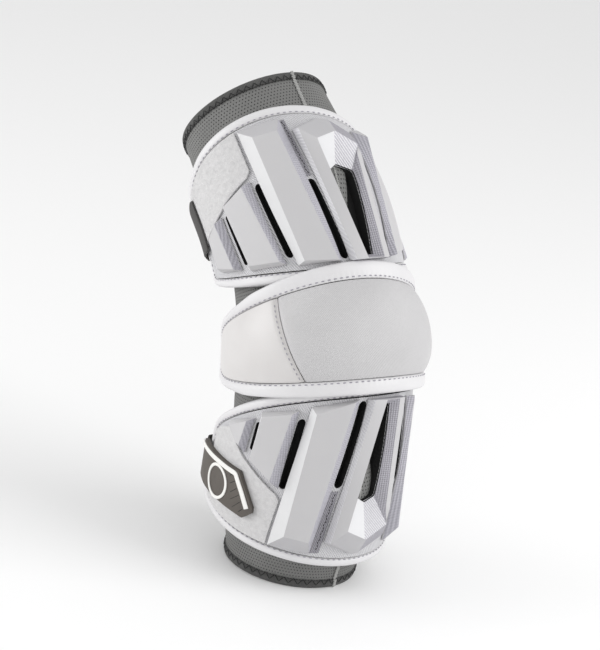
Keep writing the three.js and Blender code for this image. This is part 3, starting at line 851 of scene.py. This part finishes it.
def build_shell(panel):
    """The foam shell. Its slot walls and its underside get the dark lining colour, painted shade
    that makes the slots look deep, and its columns crowd together towards its ends, where the
    outline turns."""
    up = np.linspace(-1, 1, SHELL_ROWS)[:, None]
    even = np.linspace(-1, 1, SHELL_COLUMNS)
    across = (np.sign(even) * (1 - (1 - np.abs(even)) ** COLUMN_CROWDING))[None, :]
    inset = BINDING_WIDTH + FIT
    along, angle, _ = panel.inside(across, up, inset)
    low = shell_seat(along, angle)
    high = shell_radius(along, angle)
    shell = wrapped(f"{panel.name}_foam", along, angle, low, high)
    cutters = [
        slot_cutter(panel, slot, side) for slot in SLOTS[panel.name] for side in (-1, 1)
    ]
    cutters.append(window_cutter(panel))
    # Every face but the top, the slot walls among them, gets the dark lining colour as painted
    # shade.
    for obj in (shell, *cutters):
        for look in (FOAM_LOOK, LINING_AND_SHADE_LOOK):
            obj.data.materials.append(look)
        foam_faces = np.zeros((SHELL_ROWS - 1, SHELL_COLUMNS - 1) if obj is shell else 0)
        paint_zones(obj, foam_faces, rest=1)
    cut_away(shell, cutters)
    sharpen(shell)
    dress(shell, [], "shell_foam", f"{panel.name}_shell", fill=1.0)


def build_slot_lining(panel):
    """Dark cloth under the slots, glued to the underside of the shell: a real dark layer, whose
    black also serves as painted shade deep in the slots and the window.
    """
    up = np.linspace(-0.93, 0.93, 40)[:, None]
    across = np.linspace(-0.9, 0.9, 120)[None, :]
    along, angle, _ = panel.inside(across, up, BINDING_WIDTH)
    low = sleeve_radius(along) + 0.1
    lining = wrapped(f"{panel.name}_lining", along, angle, low, low + 0.3)
    dress(lining, LINING_AND_SHADE_LOOK, "shell_foam", fill=1.0)


# Bindings: leather folded over the edge of a panel

BINDING_PROFILE = [
    # share of the width, share of the height between the seat and the face
    (0.05, 0.0), (0.0, 0.3), (0.0, 0.55), (0.04, 0.74), (0.12, 0.88), (0.24, 0.965), (0.4, 1.0),
    (0.56, 1.0), (0.7, 0.975), (0.82, 0.935), (0.92, 0.87), (0.98, 0.76), (1.0, 0.6),
]
BINDING_SPOTS = 560
PUCKER = 0.2
STITCH_SHARE = 0.87
BINDING_STITCH = (3.9, 1.7, 0.36)


def rounded_loop(panel, inset):
    """Evenly spaced places round a panel's outline."""
    turn = np.linspace(0, 2 * math.pi, 4000, endpoint=False)
    power = 2 / panel.corner
    across = np.sign(np.cos(turn)) * np.abs(np.cos(turn)) ** power
    height = np.sign(np.sin(turn)) * np.abs(np.sin(turn)) ** power
    along, angle, share = panel.spot(across, height, inset)
    points = np.stack([np.radians(angle) * PATTERN_RADIUS, along], axis=1)
    gaps = np.linalg.norm(np.diff(np.vstack([points, points[:1]]), axis=0), axis=1)
    travelled = np.concatenate([[0], np.cumsum(gaps)])
    wanted = np.arange(BINDING_SPOTS) * travelled[-1] / BINDING_SPOTS
    return tuple(
        np.interp(wanted, travelled, np.append(v, v[0])) for v in (along, angle, share)
    )


def build_binding(panel, width, seat, face, slot):
    """The rolled leather from under the panel's edge to its inner line, with its stitches."""
    name = f"{panel.name}_edge_binding"
    base, inner = (np.stack(rounded_loop(panel, inset)) for inset in (0.0, width))
    waves = np.arange(BINDING_SPOTS) * 2 * math.pi / BINDING_SPOTS
    pucker = PUCKER * np.cos(waves * round(BINDING_SPOTS * 1.25 / 4))
    rows = []
    for share_in, share_up in BINDING_PROFILE:
        along, angle, share = mix(base, inner, share_in)
        low = seat(along, angle)
        high = face(along, angle, share)
        dip = pucker * max(0.0, share_in - 0.45) * 2
        rows.append((along, angle, mix(low, high, share_up) + dip))
    along, angle, radius = (np.stack([row[at] for row in rows]) for at in range(3))
    low = np.minimum(seat(along, angle), radius - 0.05)
    strip = wrapped(name, along, angle, low, radius, looped=True)
    sharpen(strip, 60)
    dress(strip, BINDING_LOOK, slot, f"{panel.name}_binding", fill=0.8)
    along, angle, share = mix(base, inner, STITCH_SHARE)
    lift = mix(seat(along, angle), face(along, angle, share), 0.9) + 0.2
    stitch_row(f"{name}_stitches", along, angle, lift, BINDING_STITCH, PALE_THREAD, slot, True)


def shell_trim(along, angle, share=None):
    return shell_radius(along, angle) + BINDING_RISE


# Moulded ribs: corners run near right, near left, far left, far right on the tab side

RIBS = {
    "upper": [
        (
            [(36, -23.5), (37.2, -49.6), (121, -59.5), (118.5, -32)],
            [(36.3, -27, 6.5), (38.6, -45.2, 4.8), (110, -51, 7.5), (107.5, -37, 7.5)],
        ),
        (
            [(38.8, -56.2), (40.5, -80.5), (82.5, -87), (88, -64.3)],
            [(40.5, -58.5, 6), (42.5, -77, 6), (81.5, -83.8, 6), (85.5, -68, 6)],
        ),
        (
            [(42.5, -87.3), (47.5, -110.5), (73, -112.5), (79.8, -93.4)],
            [(44, -89.5, 5), (49.5, -106, 4.5), (71.5, -107.5, 4.5), (77, -96, 5)],
        ),
    ],
    "lower": [
        (
            [(-30, -18), (-34.5, -45.5), (-121.5, -59.8), (-121.5, -34)],
            [(-30.3, -22.5, 6.5), (-37, -42.5, 6.5), (-110, -50, 7.5), (-111, -36.5, 7.5)],
        ),
        (
            [(-36.8, -52.5), (-40.8, -75.3), (-71.8, -80.3), (-83, -59.3)],
            [(-38.3, -55.3, 6), (-42.5, -72.3, 6), (-69.5, -77, 6), (-77.8, -63.3, 6)],
        ),
        (
            [(-45.8, -80.3), (-52.8, -101.5), (-66, -89.5), (-69, -85.3)],
            [(-47.5, -82.6, 5), (-55, -97.5, 4), (-62.8, -89.3, 5), (-63.8, -86.5, 5)],
        ),
    ],
}

# The right-hand neighbour of the chevron is lower than its mirror image and flatter outwards
HIDDEN_RIBS = {
    "upper": (
        [(36, 12.3, 0), (40.5, 40, 0), (113, 46, 0), (103.5, 18.8, 0)],
        [(36.3, 14.6, 4.6), (44, 36, 0.4), (106, 40, 3), (96, 22.7, 6.8)],
    ),
    "lower": (
        [(-31.5, 21.5, 0), (-36, 50, 0), (-123, 50, 0), (-119, 24, 0)],
        [(-31.5, 24.2, 4), (-38, 46, 0.4), (-112, 44, 3.4), (-108, 27, 7.2)],
    ),
}
HIDDEN_HEIGHT = 0.25
RIB_ROWS, RIB_COLUMNS = 25, 7
RIB_LOOKS = [SHADED_RIB_LOOK, SHADED_WOVEN_FLANK_LOOK, LIT_FLANK_LOOK, SHADED_FACET_LOOK]


def patch(corners, share, across):
    right = mix(corners[0], corners[3], share[..., None])
    left = mix(corners[1], corners[2], share[..., None])
    return mix(right, left, across[..., None])


def rib_corners(panel, number, side):
    if side > 0 and number == 0:
        return HIDDEN_RIBS[panel.name]

    height = 1.0 if side < 0 else HIDDEN_HEIGHT

    def mirrored(rows):
        return [(*panel.place(row[0], row[1], side), (*row, 0.0)[2] * height) for row in rows]

    foot, face = RIBS[panel.name][number]
    return mirrored(foot), mirrored(face)


def build_rib(panel, number, side):
    """One moulded rib with straight edges: a face, two flanks and plain end facets."""
    foot, face = (ridge_points(rows) for rows in rib_corners(panel, number, side))
    share = np.concatenate([[-1], np.linspace(0, 1, RIB_ROWS), [2]])[:, None]
    across = np.concatenate([[-1], np.linspace(0, 1, RIB_COLUMNS), [2]])[None, :]
    share, across = np.broadcast_arrays(share, across)
    outside = (share < 0) | (share > 1) | (across < 0) | (across > 1)
    held_share, held_across = np.clip(share, 0, 1), np.clip(across, 0, 1)
    spot = np.where(
        outside[..., None],
        patch(foot, held_share, held_across),
        patch(face, held_share, held_across),
    )
    along, angle, height = over_shell(spot)
    height = np.where(outside, 0, height)
    seat = shell_radius(along, angle) + RIB_SEAT
    name = "left" if side < 0 else "right"
    piece = wrapped(
        f"{panel.name}_{name}_rib_{number + 1}", along, angle, seat, seat + RIB_LIP + height
    )
    # Painted light and shade by face: the top and near end get the shaded tone, one flank the lit
    # tone, the far end facet the shaded facet tone, and the other flank the woven look with
    # painted shade.
    zones = np.zeros((RIB_ROWS + 1, RIB_COLUMNS + 1), np.int32)
    zones[1:-1, 0] = RIB_LOOKS.index(SHADED_WOVEN_FLANK_LOOK)
    zones[1:-1, -1] = RIB_LOOKS.index(LIT_FLANK_LOOK)
    zones[-1, :] = RIB_LOOKS.index(SHADED_FACET_LOOK)
    paint_zones(piece, zones)
    soften(piece, 1.0)
    node = f"{panel.name}_rib_{name}_{number + 1}"
    dress(piece, RIB_LOOKS, "moulded_ribs", node, fill=1.0)


WINDOW_MESH = {"upper": (54, 86, -18, -10, 3), "lower": (-54, -89, -16, -4, 9)}
MESH_SWELL = 5.4


def build_window_mesh(panel):
    """The sleeve's mesh that swells up in the far part of the window, with its seam."""
    near, far, left, right_near, right = WINDOW_MESH[panel.name]
    share = np.linspace(0, 1, 40)[:, None]
    across = np.linspace(0, 1, 24)[None, :]
    edge = mix(right_near, right, share)
    along, angle = np.broadcast_arrays(mix(near, far, share), mix(left, edge, across))
    swell = MESH_SWELL * step(share, 0, 0.6) * (1 - (2 * across - 0.9) ** 2 * 0.5)
    low = sleeve_radius(along) + 0.45
    piece = wrapped(f"{panel.name}_window_mesh", along, angle, low, low + 0.4 + swell)
    dress(piece, MESH_LOOK, "sleeve_mesh")
    line = np.linspace(0.2, 1, 40)
    place = mix(near, far, line)
    turn = mix(left, mix(right_near, right, line), 0.42)
    crest = sleeve_radius(place) + 0.85 + MESH_SWELL * step(line, 0, 0.6)
    crossing_seam(f"{panel.name}_window_seam", place, turn, crest, 1.5)


OVERLOCK_PITCH = 1.15
OVERLOCK_RADIUS = 0.55
OVERLOCK_SLANT = 0.3
OVERLOCK_SWAY = 0.18


def crossing_seam(name, along, angle, radius, width):
    """An overlock seam: close threads that cross a line of places, on a flat cord."""
    spots = spaced(along, angle, radius, OVERLOCK_PITCH)
    count = np.arange(len(spots[0]))
    half = np.degrees(width * (1 + OVERLOCK_SWAY * np.sin(count * 2.4)) / 2 / spots[2])
    starts = arm_points(spots[0] - OVERLOCK_SLANT, spots[1] - half, spots[2])
    ends = arm_points(spots[0] + OVERLOCK_SLANT, spots[1] + half, spots[2])
    ups = (arm_points(*spots) - arm_points(spots[0], spots[1], spots[2] - 1)) / MM
    dress(capsules(name, starts, ends, ups, OVERLOCK_RADIUS * MM), GREY_THREAD, "sleeve_mesh")


CHEVRON_LOOKS = [
    SHADED_RIB_LOOK, RIB_LINED_LOOK, SHADED_WOVEN_LEG_LOOK, DIAGONAL_LOOK, SHADED_FACET_LOOK, LIT_CENTRE_FACET_LOOK, LINING_AND_SHADE_LOOK,
]
# The chevron's tones are painted light and shade by face: shaded tops and head facets, a lit
# centre facet, and woven right-leg faces with painted shade.
CHEVRON_ZONES = [
    # outer flanks, tops and inner flanks: the looks along the left leg, the head, the right leg
    [(RIB_LINED_LOOK, LEG_STEPS), (SHADED_FACET_LOOK, 3), (SHADED_WOVEN_LEG_LOOK, LEG_STEPS + 2)],
    [(SHADED_RIB_LOOK, LEG_STEPS), (SHADED_FACET_LOOK, 2), (SHADED_WOVEN_LEG_LOOK, 1), (SHADED_RIB_LOOK, LEG_STEPS + 2)],
    [(SHADED_RIB_LOOK, LEG_STEPS), (LIT_CENTRE_FACET_LOOK, 1), (DIAGONAL_LOOK, 2), (SHADED_WOVEN_LEG_LOOK, LEG_STEPS + 2)],
]


def build_chevron(panel):
    """The two legs and the faceted head round the window."""
    lines = np.stack([chevron_line(panel, line) for line in CHEVRON[panel.name]])
    along, angle, height = (lines[..., at] for at in range(3))
    height[[0, -1]] = 0
    seat = shell_radius(along, angle) + RIB_SEAT
    piece = wrapped(
        f"{panel.name}_vee", along, angle, seat, seat + RIB_LIP + height, looped=True
    )
    zones = [
        [CHEVRON_LOOKS.index(look) for look, run in row for _ in range(run)]
        for row in CHEVRON_ZONES
    ]
    # The window's wall gets the dark lining colour as painted shade.
    paint_zones(piece, np.array(zones), wall=CHEVRON_LOOKS.index(LINING_AND_SHADE_LOOK))
    soften(piece, 0.8)
    dress(piece, CHEVRON_LOOKS, "moulded_ribs", f"{panel.name}_chevron", fill=1.0)


# A woven strip with a wavy stitch runs from the last slot to the far edge

STRIP_EDGES = {
    "upper": ([(79, -31.2), (116.8, -33.2)], [(79, -27.2), (117.2, -28.8)]),
    "lower": ([(-79, -28.2), (-121.5, -34)], [(-79, -23.6), (-121, -28)]),
}
STRIP_RISE = 0.5
STRIP_WAVES, WAVE_REACH = 7, 0.45


def build_strip(panel):
    left, right = (np.array(rows) for rows in STRIP_EDGES[panel.name])
    share = np.linspace(0, 1, 60)[:, None]
    across = np.linspace(0, 1, 9)[None, :]
    along = mix(mix(left[0, 0], left[1, 0], share), mix(right[0, 0], right[1, 0], share), across)
    angle = mix(mix(left[0, 1], left[1, 1], share), mix(right[0, 1], right[1, 1], share), across)
    low = shell_radius(along, angle)
    piece = wrapped(f"{panel.name}_woven_strip", along, angle, low, low + STRIP_RISE)
    dress(piece, STRIP_LOOK, "shell_foam", fill=1.0)
    travel = np.linspace(0.02, 0.98, 160)
    centre = mix(left[0], left[1], travel[:, None]) * 0.4
    centre = centre + mix(right[0], right[1], travel[:, None]) * 0.6
    wavy = centre[:, 1] + WAVE_REACH * np.sin(travel * 2 * math.pi * STRIP_WAVES)
    radius = shell_radius(centre[:, 0], wavy) + STRIP_RISE + 0.1
    name = f"{panel.name}_wavy_stitches"
    stitch_row(name, centre[:, 0], wavy, radius, (2.2, 1.5, 0.26), DARK_THREAD_AND_SHADE, "shell_foam")


# Loop-pile landing patches beside the ribs

LANDING_RISE = 1.5
PILE_RISE = 0.4
LANDING_SIDE = 61.5
LANDING_LEAN = 0.03
LANDING_END = -121
LANDING = {
    "upper": [(-128, 72), (-118, 75.5), (-94, 82), (-87, 85), (-65, 90.5), (-61.5, 94)],
    "lower": [
        (-119, -67), (-112, -61.5), (-102.5, -57.5), (-90, -68.5),
        (-86, -72), (-81, -75), (-60, -87.5), (-57.5, -91),
    ],
}


def build_landing(panel):
    table = np.array(LANDING[panel.name], float)
    angles = np.linspace(table[0, 0], table[-1, 0], 90)[None, :]
    share = np.linspace(0, 1, 50)[:, None]
    sign = np.sign(panel.far(0))
    top = panel.edge(angles, BINDING_WIDTH + 2 * FIT)[0]
    near = np.interp(angles, table[:, 0], table[:, 1])
    beside = LANDING_SIDE
    if panel is LOWER:
        beside = LANDING_SIDE + LANDING_LEAN * (mix(near, top, share) - LANDING_END)
    along = mix(near, top - sign * 0.4, share)
    angle = np.minimum(angles, -mix(-table[-1, 0], beside, share))
    seat = shell_radius(along, angle) + FIT
    pile = 0.35 * np.sin(along * 1.7 + 2 * np.sin(angle * 0.9)) * np.sin(angle * 1.3)
    piece = wrapped(
        f"{panel.name}_loop_patch", along, angle, seat, seat + LANDING_RISE + PILE_RISE * pile
    )
    soften(piece, 0.5, 2, 50)
    dress(piece, LOOP_LOOK, "loop_pile", f"{panel.name}_landing", fill=1.0)


# Straps and tabs

STRAP_WALL = 1.8
TAB_WALL = 3.0
UPPER_TAB_WALL = 1.3
STRAPS = {
    "upper": (112, 72, 221.6, 85, 28),
    "lower": (103, -90, 231.1, -91.5, 22),
}
STRAP_SLOPE = 13.0
WEBBING_EDGE = 0.35


def strap_seat(panel, along, angle):
    tab_edge = 360 + PAD_MIDDLE - panel.wrap
    root_edge = PAD_MIDDLE + panel.wrap
    behind = angle > (tab_edge + root_edge) / 2
    wing = shell_radius(along, np.where(behind, angle - 360, angle)) + BINDING_RISE + 2 * FIT
    outside = np.where(
        behind,
        step(angle, tab_edge - STRAP_SLOPE, tab_edge - 2),
        1 - step(angle, root_edge + 2, root_edge + STRAP_SLOPE),
    )
    root_drop = 1 - step(angle, root_edge - 18, root_edge - 10)
    seat = wing - np.where(behind, 0, BINDING_RISE * root_drop)
    return mix(shell_seat(along, angle), seat, outside)


def build_strap(panel):
    root_angle, root_along, tab_angle, tab_along, width = STRAPS[panel.name]
    share = np.linspace(0, 1, 160)[None, :]
    across = np.linspace(-0.5, 0.5, 24)[:, None]
    angle = mix(root_angle, tab_angle, share)
    along = mix(root_along, tab_along, share) + across * width
    low = strap_seat(panel, along, angle + 0 * along)
    edge = WEBBING_EDGE * np.abs(2 * across) ** 8
    piece = wrapped(
        f"{panel.name}_webbing", along, angle, low + edge, low + STRAP_WALL - edge
    )
    soften(piece, 0.35, 2, 50)
    dress(piece, ELASTIC_LOOK, "strap_elastic", f"{panel.name}_strap")


TABS = {
    "upper": [(-138, 71.5, 104.5), (-129, 69.5, 106.5), (-121, 68, 108), (-117.5, 69, 107)],
    "lower": [
        (-128.5, -79, -103), (-118, -79.4, -105), (-107, -79.8, -106), (-95, -80, -106.5),
        (-84, -80.3, -107.5), (-77, -91, -108.5), (-71.5, -100, -103.5),
    ],
}


def tab_seat(panel, along, angle):
    landed = shell_radius(along, angle) + LANDING_RISE + 2 * FIT
    return np.maximum(landed, strap_seat(panel, along, angle + 360))


def build_tab(panel):
    table = np.array(TABS[panel.name], float)
    angle = np.linspace(table[0, 0], table[-1, 0], 110)[None, :]
    near = np.interp(angle, table[:, 0], table[:, 1])
    far = np.interp(angle, table[:, 0], table[:, 2])
    along = mix(near, far, np.linspace(0, 1, 50)[:, None])
    low = tab_seat(panel, along, angle + 0 * along)
    wall, look = TAB_WALL, RUBBER_LOOK
    # The upper tab gets the darker copy of the rubber as painted shade.
    if panel is UPPER:
        wall, look = UPPER_TAB_WALL, SHADED_RUBBER_LOOK
    piece = wrapped(f"{panel.name}_pull_tab", along, angle, low, low + wall)
    soften(piece, 0.3 * wall, 3, 50)
    dress(piece, look, "tab_rubber", f"{panel.name}_tab")


STRIPE = [
    (-126, -82.3), (-115, -82), (-100, -82), (-86, -82.4), (-79.5, -92.4), (-74.6, -101.4),
]
STRIPE_WIDTH = 3.1
RING_PLACE = (-95, -101.5)
RING_RADIUS = 11.4
RING_WIDTH = 2.0
RING_SPOTS = 96
INLAY_WALL = 0.7
INLAY_SAG = 0.25
INLAY_SINK = 0.55


def inlay_low(along, angle):
    return tab_seat(LOWER, along, angle) + TAB_WALL + FIT + INLAY_SAG - INLAY_SINK


def build_stripe():
    table = np.array(STRIPE, float)
    points = np.stack(
        [np.radians(table[:, 0]) * shell_radius(table[:, 1], table[:, 0]), table[:, 1]], axis=1
    )
    travelled = np.concatenate([[0], np.cumsum(np.linalg.norm(np.diff(points, axis=0), axis=1))])
    wanted = np.linspace(0, travelled[-1], 90)
    line = np.stack([np.interp(wanted, travelled, points[:, at]) for at in (0, 1)], axis=1)
    for _ in range(2):
        line[1:-1] = (line[:-2] + 2 * line[1:-1] + line[2:]) / 4
    heading = np.gradient(line, axis=0)
    heading /= np.linalg.norm(heading, axis=1, keepdims=True)
    aside = np.stack([-heading[:, 1], heading[:, 0]], axis=1)
    edges = np.array([-0.5, -0.25, 0.25, 0.5])[:, None, None]
    spots = line[None] + edges * STRIPE_WIDTH * aside[None]
    along = spots[..., 1]
    angle = np.degrees(spots[..., 0] / shell_radius(along, -100.0 + 0 * along))
    low = inlay_low(along, angle)
    piece = wrapped("tab_edge_stripe", along, angle, low, low + INLAY_WALL)
    soften(piece, 0.2, 2, 50)
    dress(piece, PRINT_LOOK, "inlay_rubber", "lower_tab_stripe")


def build_ring():
    along, angle = RING_PLACE
    face = float(shell_radius(along, angle)) + LANDING_RISE + TAB_WALL
    turn = np.arange(RING_SPOTS)[None, :] * 360 / RING_SPOTS
    reach = np.linspace(RING_RADIUS - RING_WIDTH, RING_RADIUS, 4)[:, None]
    rows = along + reach * sind(turn)
    turns = angle + np.degrees(reach * cosd(turn) / face)
    low = inlay_low(rows, turns)
    piece = wrapped("tab_plain_ring", rows, turns, low, low + INLAY_WALL, looped=True)
    soften(piece, 0.2, 2, 50)
    dress(piece, PRINT_LOOK, "inlay_rubber", "lower_tab_ring")


GROOVES = [
    # angle and along of both ends
    ((-90.8, -86.1), (-88, -83.6)),
    ((-89.8, -90.9), (-85.4, -87.2)),
    ((-88.4, -96.4), (-83, -90.8)),
    ((-87.8, -101), (-80.8, -94.6)),
    ((-85.3, -105.2), (-78.9, -98)),
    ((-80, -105.8), (-77.3, -102.6)),
]


def build_grooves():
    """Narrow dark lines laid on the tab between the ring and the stripe: painted shade for its
    engraved grooves.
    """
    spots = np.array(GROOVES)
    angle, along = spots[..., 0], spots[..., 1]
    face = tab_seat(LOWER, along, angle) + TAB_WALL - 0.05
    points = arm_points(along, angle, face)
    ups = (points - arm_points(along, angle, face - 1))[:, 0] / MM
    lines = capsules("tab_grooves", points[:, 0], points[:, 1], ups, THREAD_RADIUS * MM)
    dress(lines, DARK_THREAD_AND_SHADE, "tab_rubber")


for panel in (UPPER, LOWER):
    build_shell(panel)
    build_slot_lining(panel)
    build_binding(panel, BINDING_WIDTH, shell_seat, shell_trim, "binding_leather")
    for number in range(3):
        build_rib(panel, number, -1)
        build_rib(panel, number, 1)
    build_chevron(panel)
    build_window_mesh(panel)
    build_strip(panel)
    build_landing(panel)
    build_strap(panel)
    build_tab(panel)
build_stripe()
build_ring()
build_grooves()
build_sleeve()
build_zigzag("top_zigzag", REACH - HEM_SHOWN + 0.7, 116)
build_zigzag("bottom_zigzag", -REACH + HEM_SHOWN - 0.7, 90)
build_sleeve_seam()


# Elbow cap

CAP_COVER = 0.6
COVER_RAMP = 10.0
COVER_LEAD = 3.0
# The cap's radius along both edges: behind, and how much more at the point
CAP_LOW_EDGE, CAP_HIGH_EDGE = (62.5, 5), (61.5, 1)
POINT_ANGLE = 20
DOME_RISE, DOME_POINT = 2.5, 4
SEAM_CURVE = (-2.4, 8, 59.4)
SEAM_GAP = 0.004
SEAM_SINK = 1.7
SEAM_SPREAD = 2.2
CAP_RADIUS = 64


def cap_seat(along, angle):
    """The cap rests on the sleeve and steps up over the edges of the shells."""
    on_sleeve = shell_seat(along, angle)
    upper_edge, lower_edge = UPPER.near(angle), LOWER.near(angle)
    over_upper = step(along, upper_edge - COVER_RAMP, upper_edge - COVER_LEAD)
    over_lower = 1 - step(along, lower_edge + COVER_LEAD, lower_edge + COVER_RAMP)
    over = np.maximum(over_upper, over_lower)
    covering = np.maximum(on_sleeve, shell_trim(along, angle) + CAP_COVER)
    return mix(on_sleeve, covering, over)


def towards_point(angle):
    """1 where the cap points outwards, down to 0 on the opposite side."""
    return (1 + cosd(angle - POINT_ANGLE)) / 2


def cap_edge(along, angle, share):
    point = towards_point(angle)
    low, high = (behind + more * point for behind, more in (CAP_LOW_EDGE, CAP_HIGH_EDGE))
    return mix(low, high, step(share, 0, 1))


def seam_share(up):
    """How far round the cap its seams lie, as a share of its wrap."""
    return np.polyval(SEAM_CURVE, up) / CAP.wrap


def cap_face(up, across):
    """Along, angle and face radius of a place on the domed cap, with its sunk seams."""
    along, angle, place = CAP.inside(across, up, CAP_BINDING_WIDTH + FIT)
    point = towards_point(angle)
    crown = (1 - np.abs(up) ** 2.4) * (1 - np.abs(across) ** 5)
    face = cap_edge(along, angle, place) - 0.6 + (DOME_RISE + DOME_POINT * point) * crown
    from_seam = np.abs(np.abs(across) - seam_share(up)) * np.radians(CAP.wrap) * CAP_RADIUS
    return along, angle, face - SEAM_SINK * np.exp(-((from_seam / SEAM_SPREAD) ** 2))


def build_seam_stitches(side):
    """Short stitches on the side panel, just outside the seam."""
    up = np.linspace(-0.97, 0.97, 120)
    across = side * (seam_share(up) + 0.0135)
    along, angle, face = cap_face(up, across)
    name = f"cap_{'left' if side < 0 else 'right'}_seam_stitches"
    stitch_row(name, along, angle, face + 0.1, (3.4, 1.7, 0.3), PALE_THREAD, "cap_leather")


def build_cap_panel(name, node, start, end, columns, look):
    """A padded panel whose face sinks to the seams and to the binding at its edges."""
    up = np.linspace(-1, 1, 70)[:, None]
    share = np.linspace(0, 1, columns)[None, :]
    across = mix(start(up), end(up), share)
    along, angle, face = cap_face(up, across)
    piece = wrapped(name, along, angle, cap_seat(along, angle), face)
    sharpen(piece, 60)
    dress(piece, look, "cap_leather", node, fill=0.85)


build_cap_panel(
    "cap_front", "cap_main",
    lambda up: -seam_share(up) + SEAM_GAP, lambda up: seam_share(up) - SEAM_GAP,
    140, CAP_LOOK,
)
build_cap_panel(
    "cap_left_side", "cap_side_left",
    lambda up: -seam_share(up), lambda up: -1 + 0 * up, 90, CAP_SIDE_LOOK,
)
build_cap_panel(
    "cap_right_side", "cap_side_right",
    lambda up: seam_share(up), lambda up: 1 + 0 * up, 90, CAP_SIDE_LOOK,
)
build_binding(CAP, CAP_BINDING_WIDTH, cap_seat, cap_edge, "cap_leather")
for side in (-1, 1):
    build_seam_stitches(side)


# Floor, camera and light

VIEW_TURN = 41.6
VIEW_RISE = 4.6
VIEW_ROLL = -1.64
VIEW_ASIDE = -12.0
VIEW_UP = 5.0
VIEW_DISTANCE = 1400.0
LENS = 123.07


FLOOR_REACH, FLOOR_LINES = 6, 7
FLOOR_TONE = (0.93, 0.93, 0.93, 1)
SKY_TONE, SKY_STRENGTH = (1, 1, 1, 1), 0.8
LAMP_SIZE = 1.2
LAMPS = {
    # metres to the side, up and back from the pad, as the camera sees it, and the power in watts
    "left softbox": (-1.6, 0.5, 0.5, 16),
    "right softbox": (1.6, 0.5, 0.6, 14),
}


def build_floor():
    side = np.linspace(-FLOOR_REACH, FLOOR_REACH, FLOOR_LINES)
    x, y = np.meshgrid(side, side)
    points = np.stack([x, y, np.zeros_like(x)], axis=-1)
    at = np.arange(x.size).reshape(x.shape)
    quads = np.stack([at[:-1, :-1], at[:-1, 1:], at[1:, 1:], at[1:, :-1]], axis=-1)
    floor = new_object("floor", points, quads.reshape(-1, 4))
    look = bpy.data.materials.new("pale floor")
    look.use_nodes = True
    shader = look.node_tree.nodes["Principled BSDF"]
    shader.inputs["Base Color"].default_value = FLOOR_TONE
    shader.inputs["Roughness"].default_value = 0.9
    floor.data.materials.append(look)


def place_camera():
    """The photograph's view: its axes are built before the pad is stood up, then turned too."""

    def stood(depth, aside, rise):
        return TURN @ np.array([rise, -depth, -aside])

    turn, rise, roll = (math.radians(a) for a in (VIEW_TURN, VIEW_RISE, VIEW_ROLL))
    towards = stood(math.cos(turn), -math.sin(turn), 0)
    right = stood(math.sin(turn), math.cos(turn), 0)
    up = stood(0, 0, 1)
    back = math.cos(rise) * towards + math.sin(rise) * up
    lifted = -math.sin(rise) * towards + math.cos(rise) * up
    side = math.cos(roll) * right + math.sin(roll) * lifted
    top = -math.sin(roll) * right + math.cos(roll) * lifted
    where = (VIEW_ASIDE * side + VIEW_UP * top + VIEW_DISTANCE * back + SHIFT) * MM
    data = bpy.data.cameras.new("view")
    data.lens = LENS
    data.sensor_width = 36
    data.clip_start = 0.05
    camera = add_object("view", data)
    axes = Matrix(np.stack([side, top, back], axis=1).tolist()).to_4x4()
    camera.matrix_world = Matrix.Translation(Vector(where)) @ axes
    bpy.context.scene.camera = camera
    return side, top, back


def add_light(name, place, power):
    data = bpy.data.lights.new(name, "AREA")
    data.size = LAMP_SIZE
    data.energy = power
    lamp = add_object(name, data)
    lamp.location = place
    lamp.rotation_euler = place.to_track_quat("Z", "Y").to_euler()


build_floor()
view_axes = place_camera()
for name, (*place, power) in LAMPS.items():
    add_light(name, Vector(sum(part * axis for part, axis in zip(place, view_axes))), power)
world = bpy.data.worlds.new("studio")
world.use_nodes = True
sky = world.node_tree.nodes["Background"]
sky.inputs["Color"].default_value = SKY_TONE
sky.inputs["Strength"].default_value = SKY_STRENGTH
bpy.context.scene.world = world
bpy.context.scene.view_settings.view_transform = "Standard"
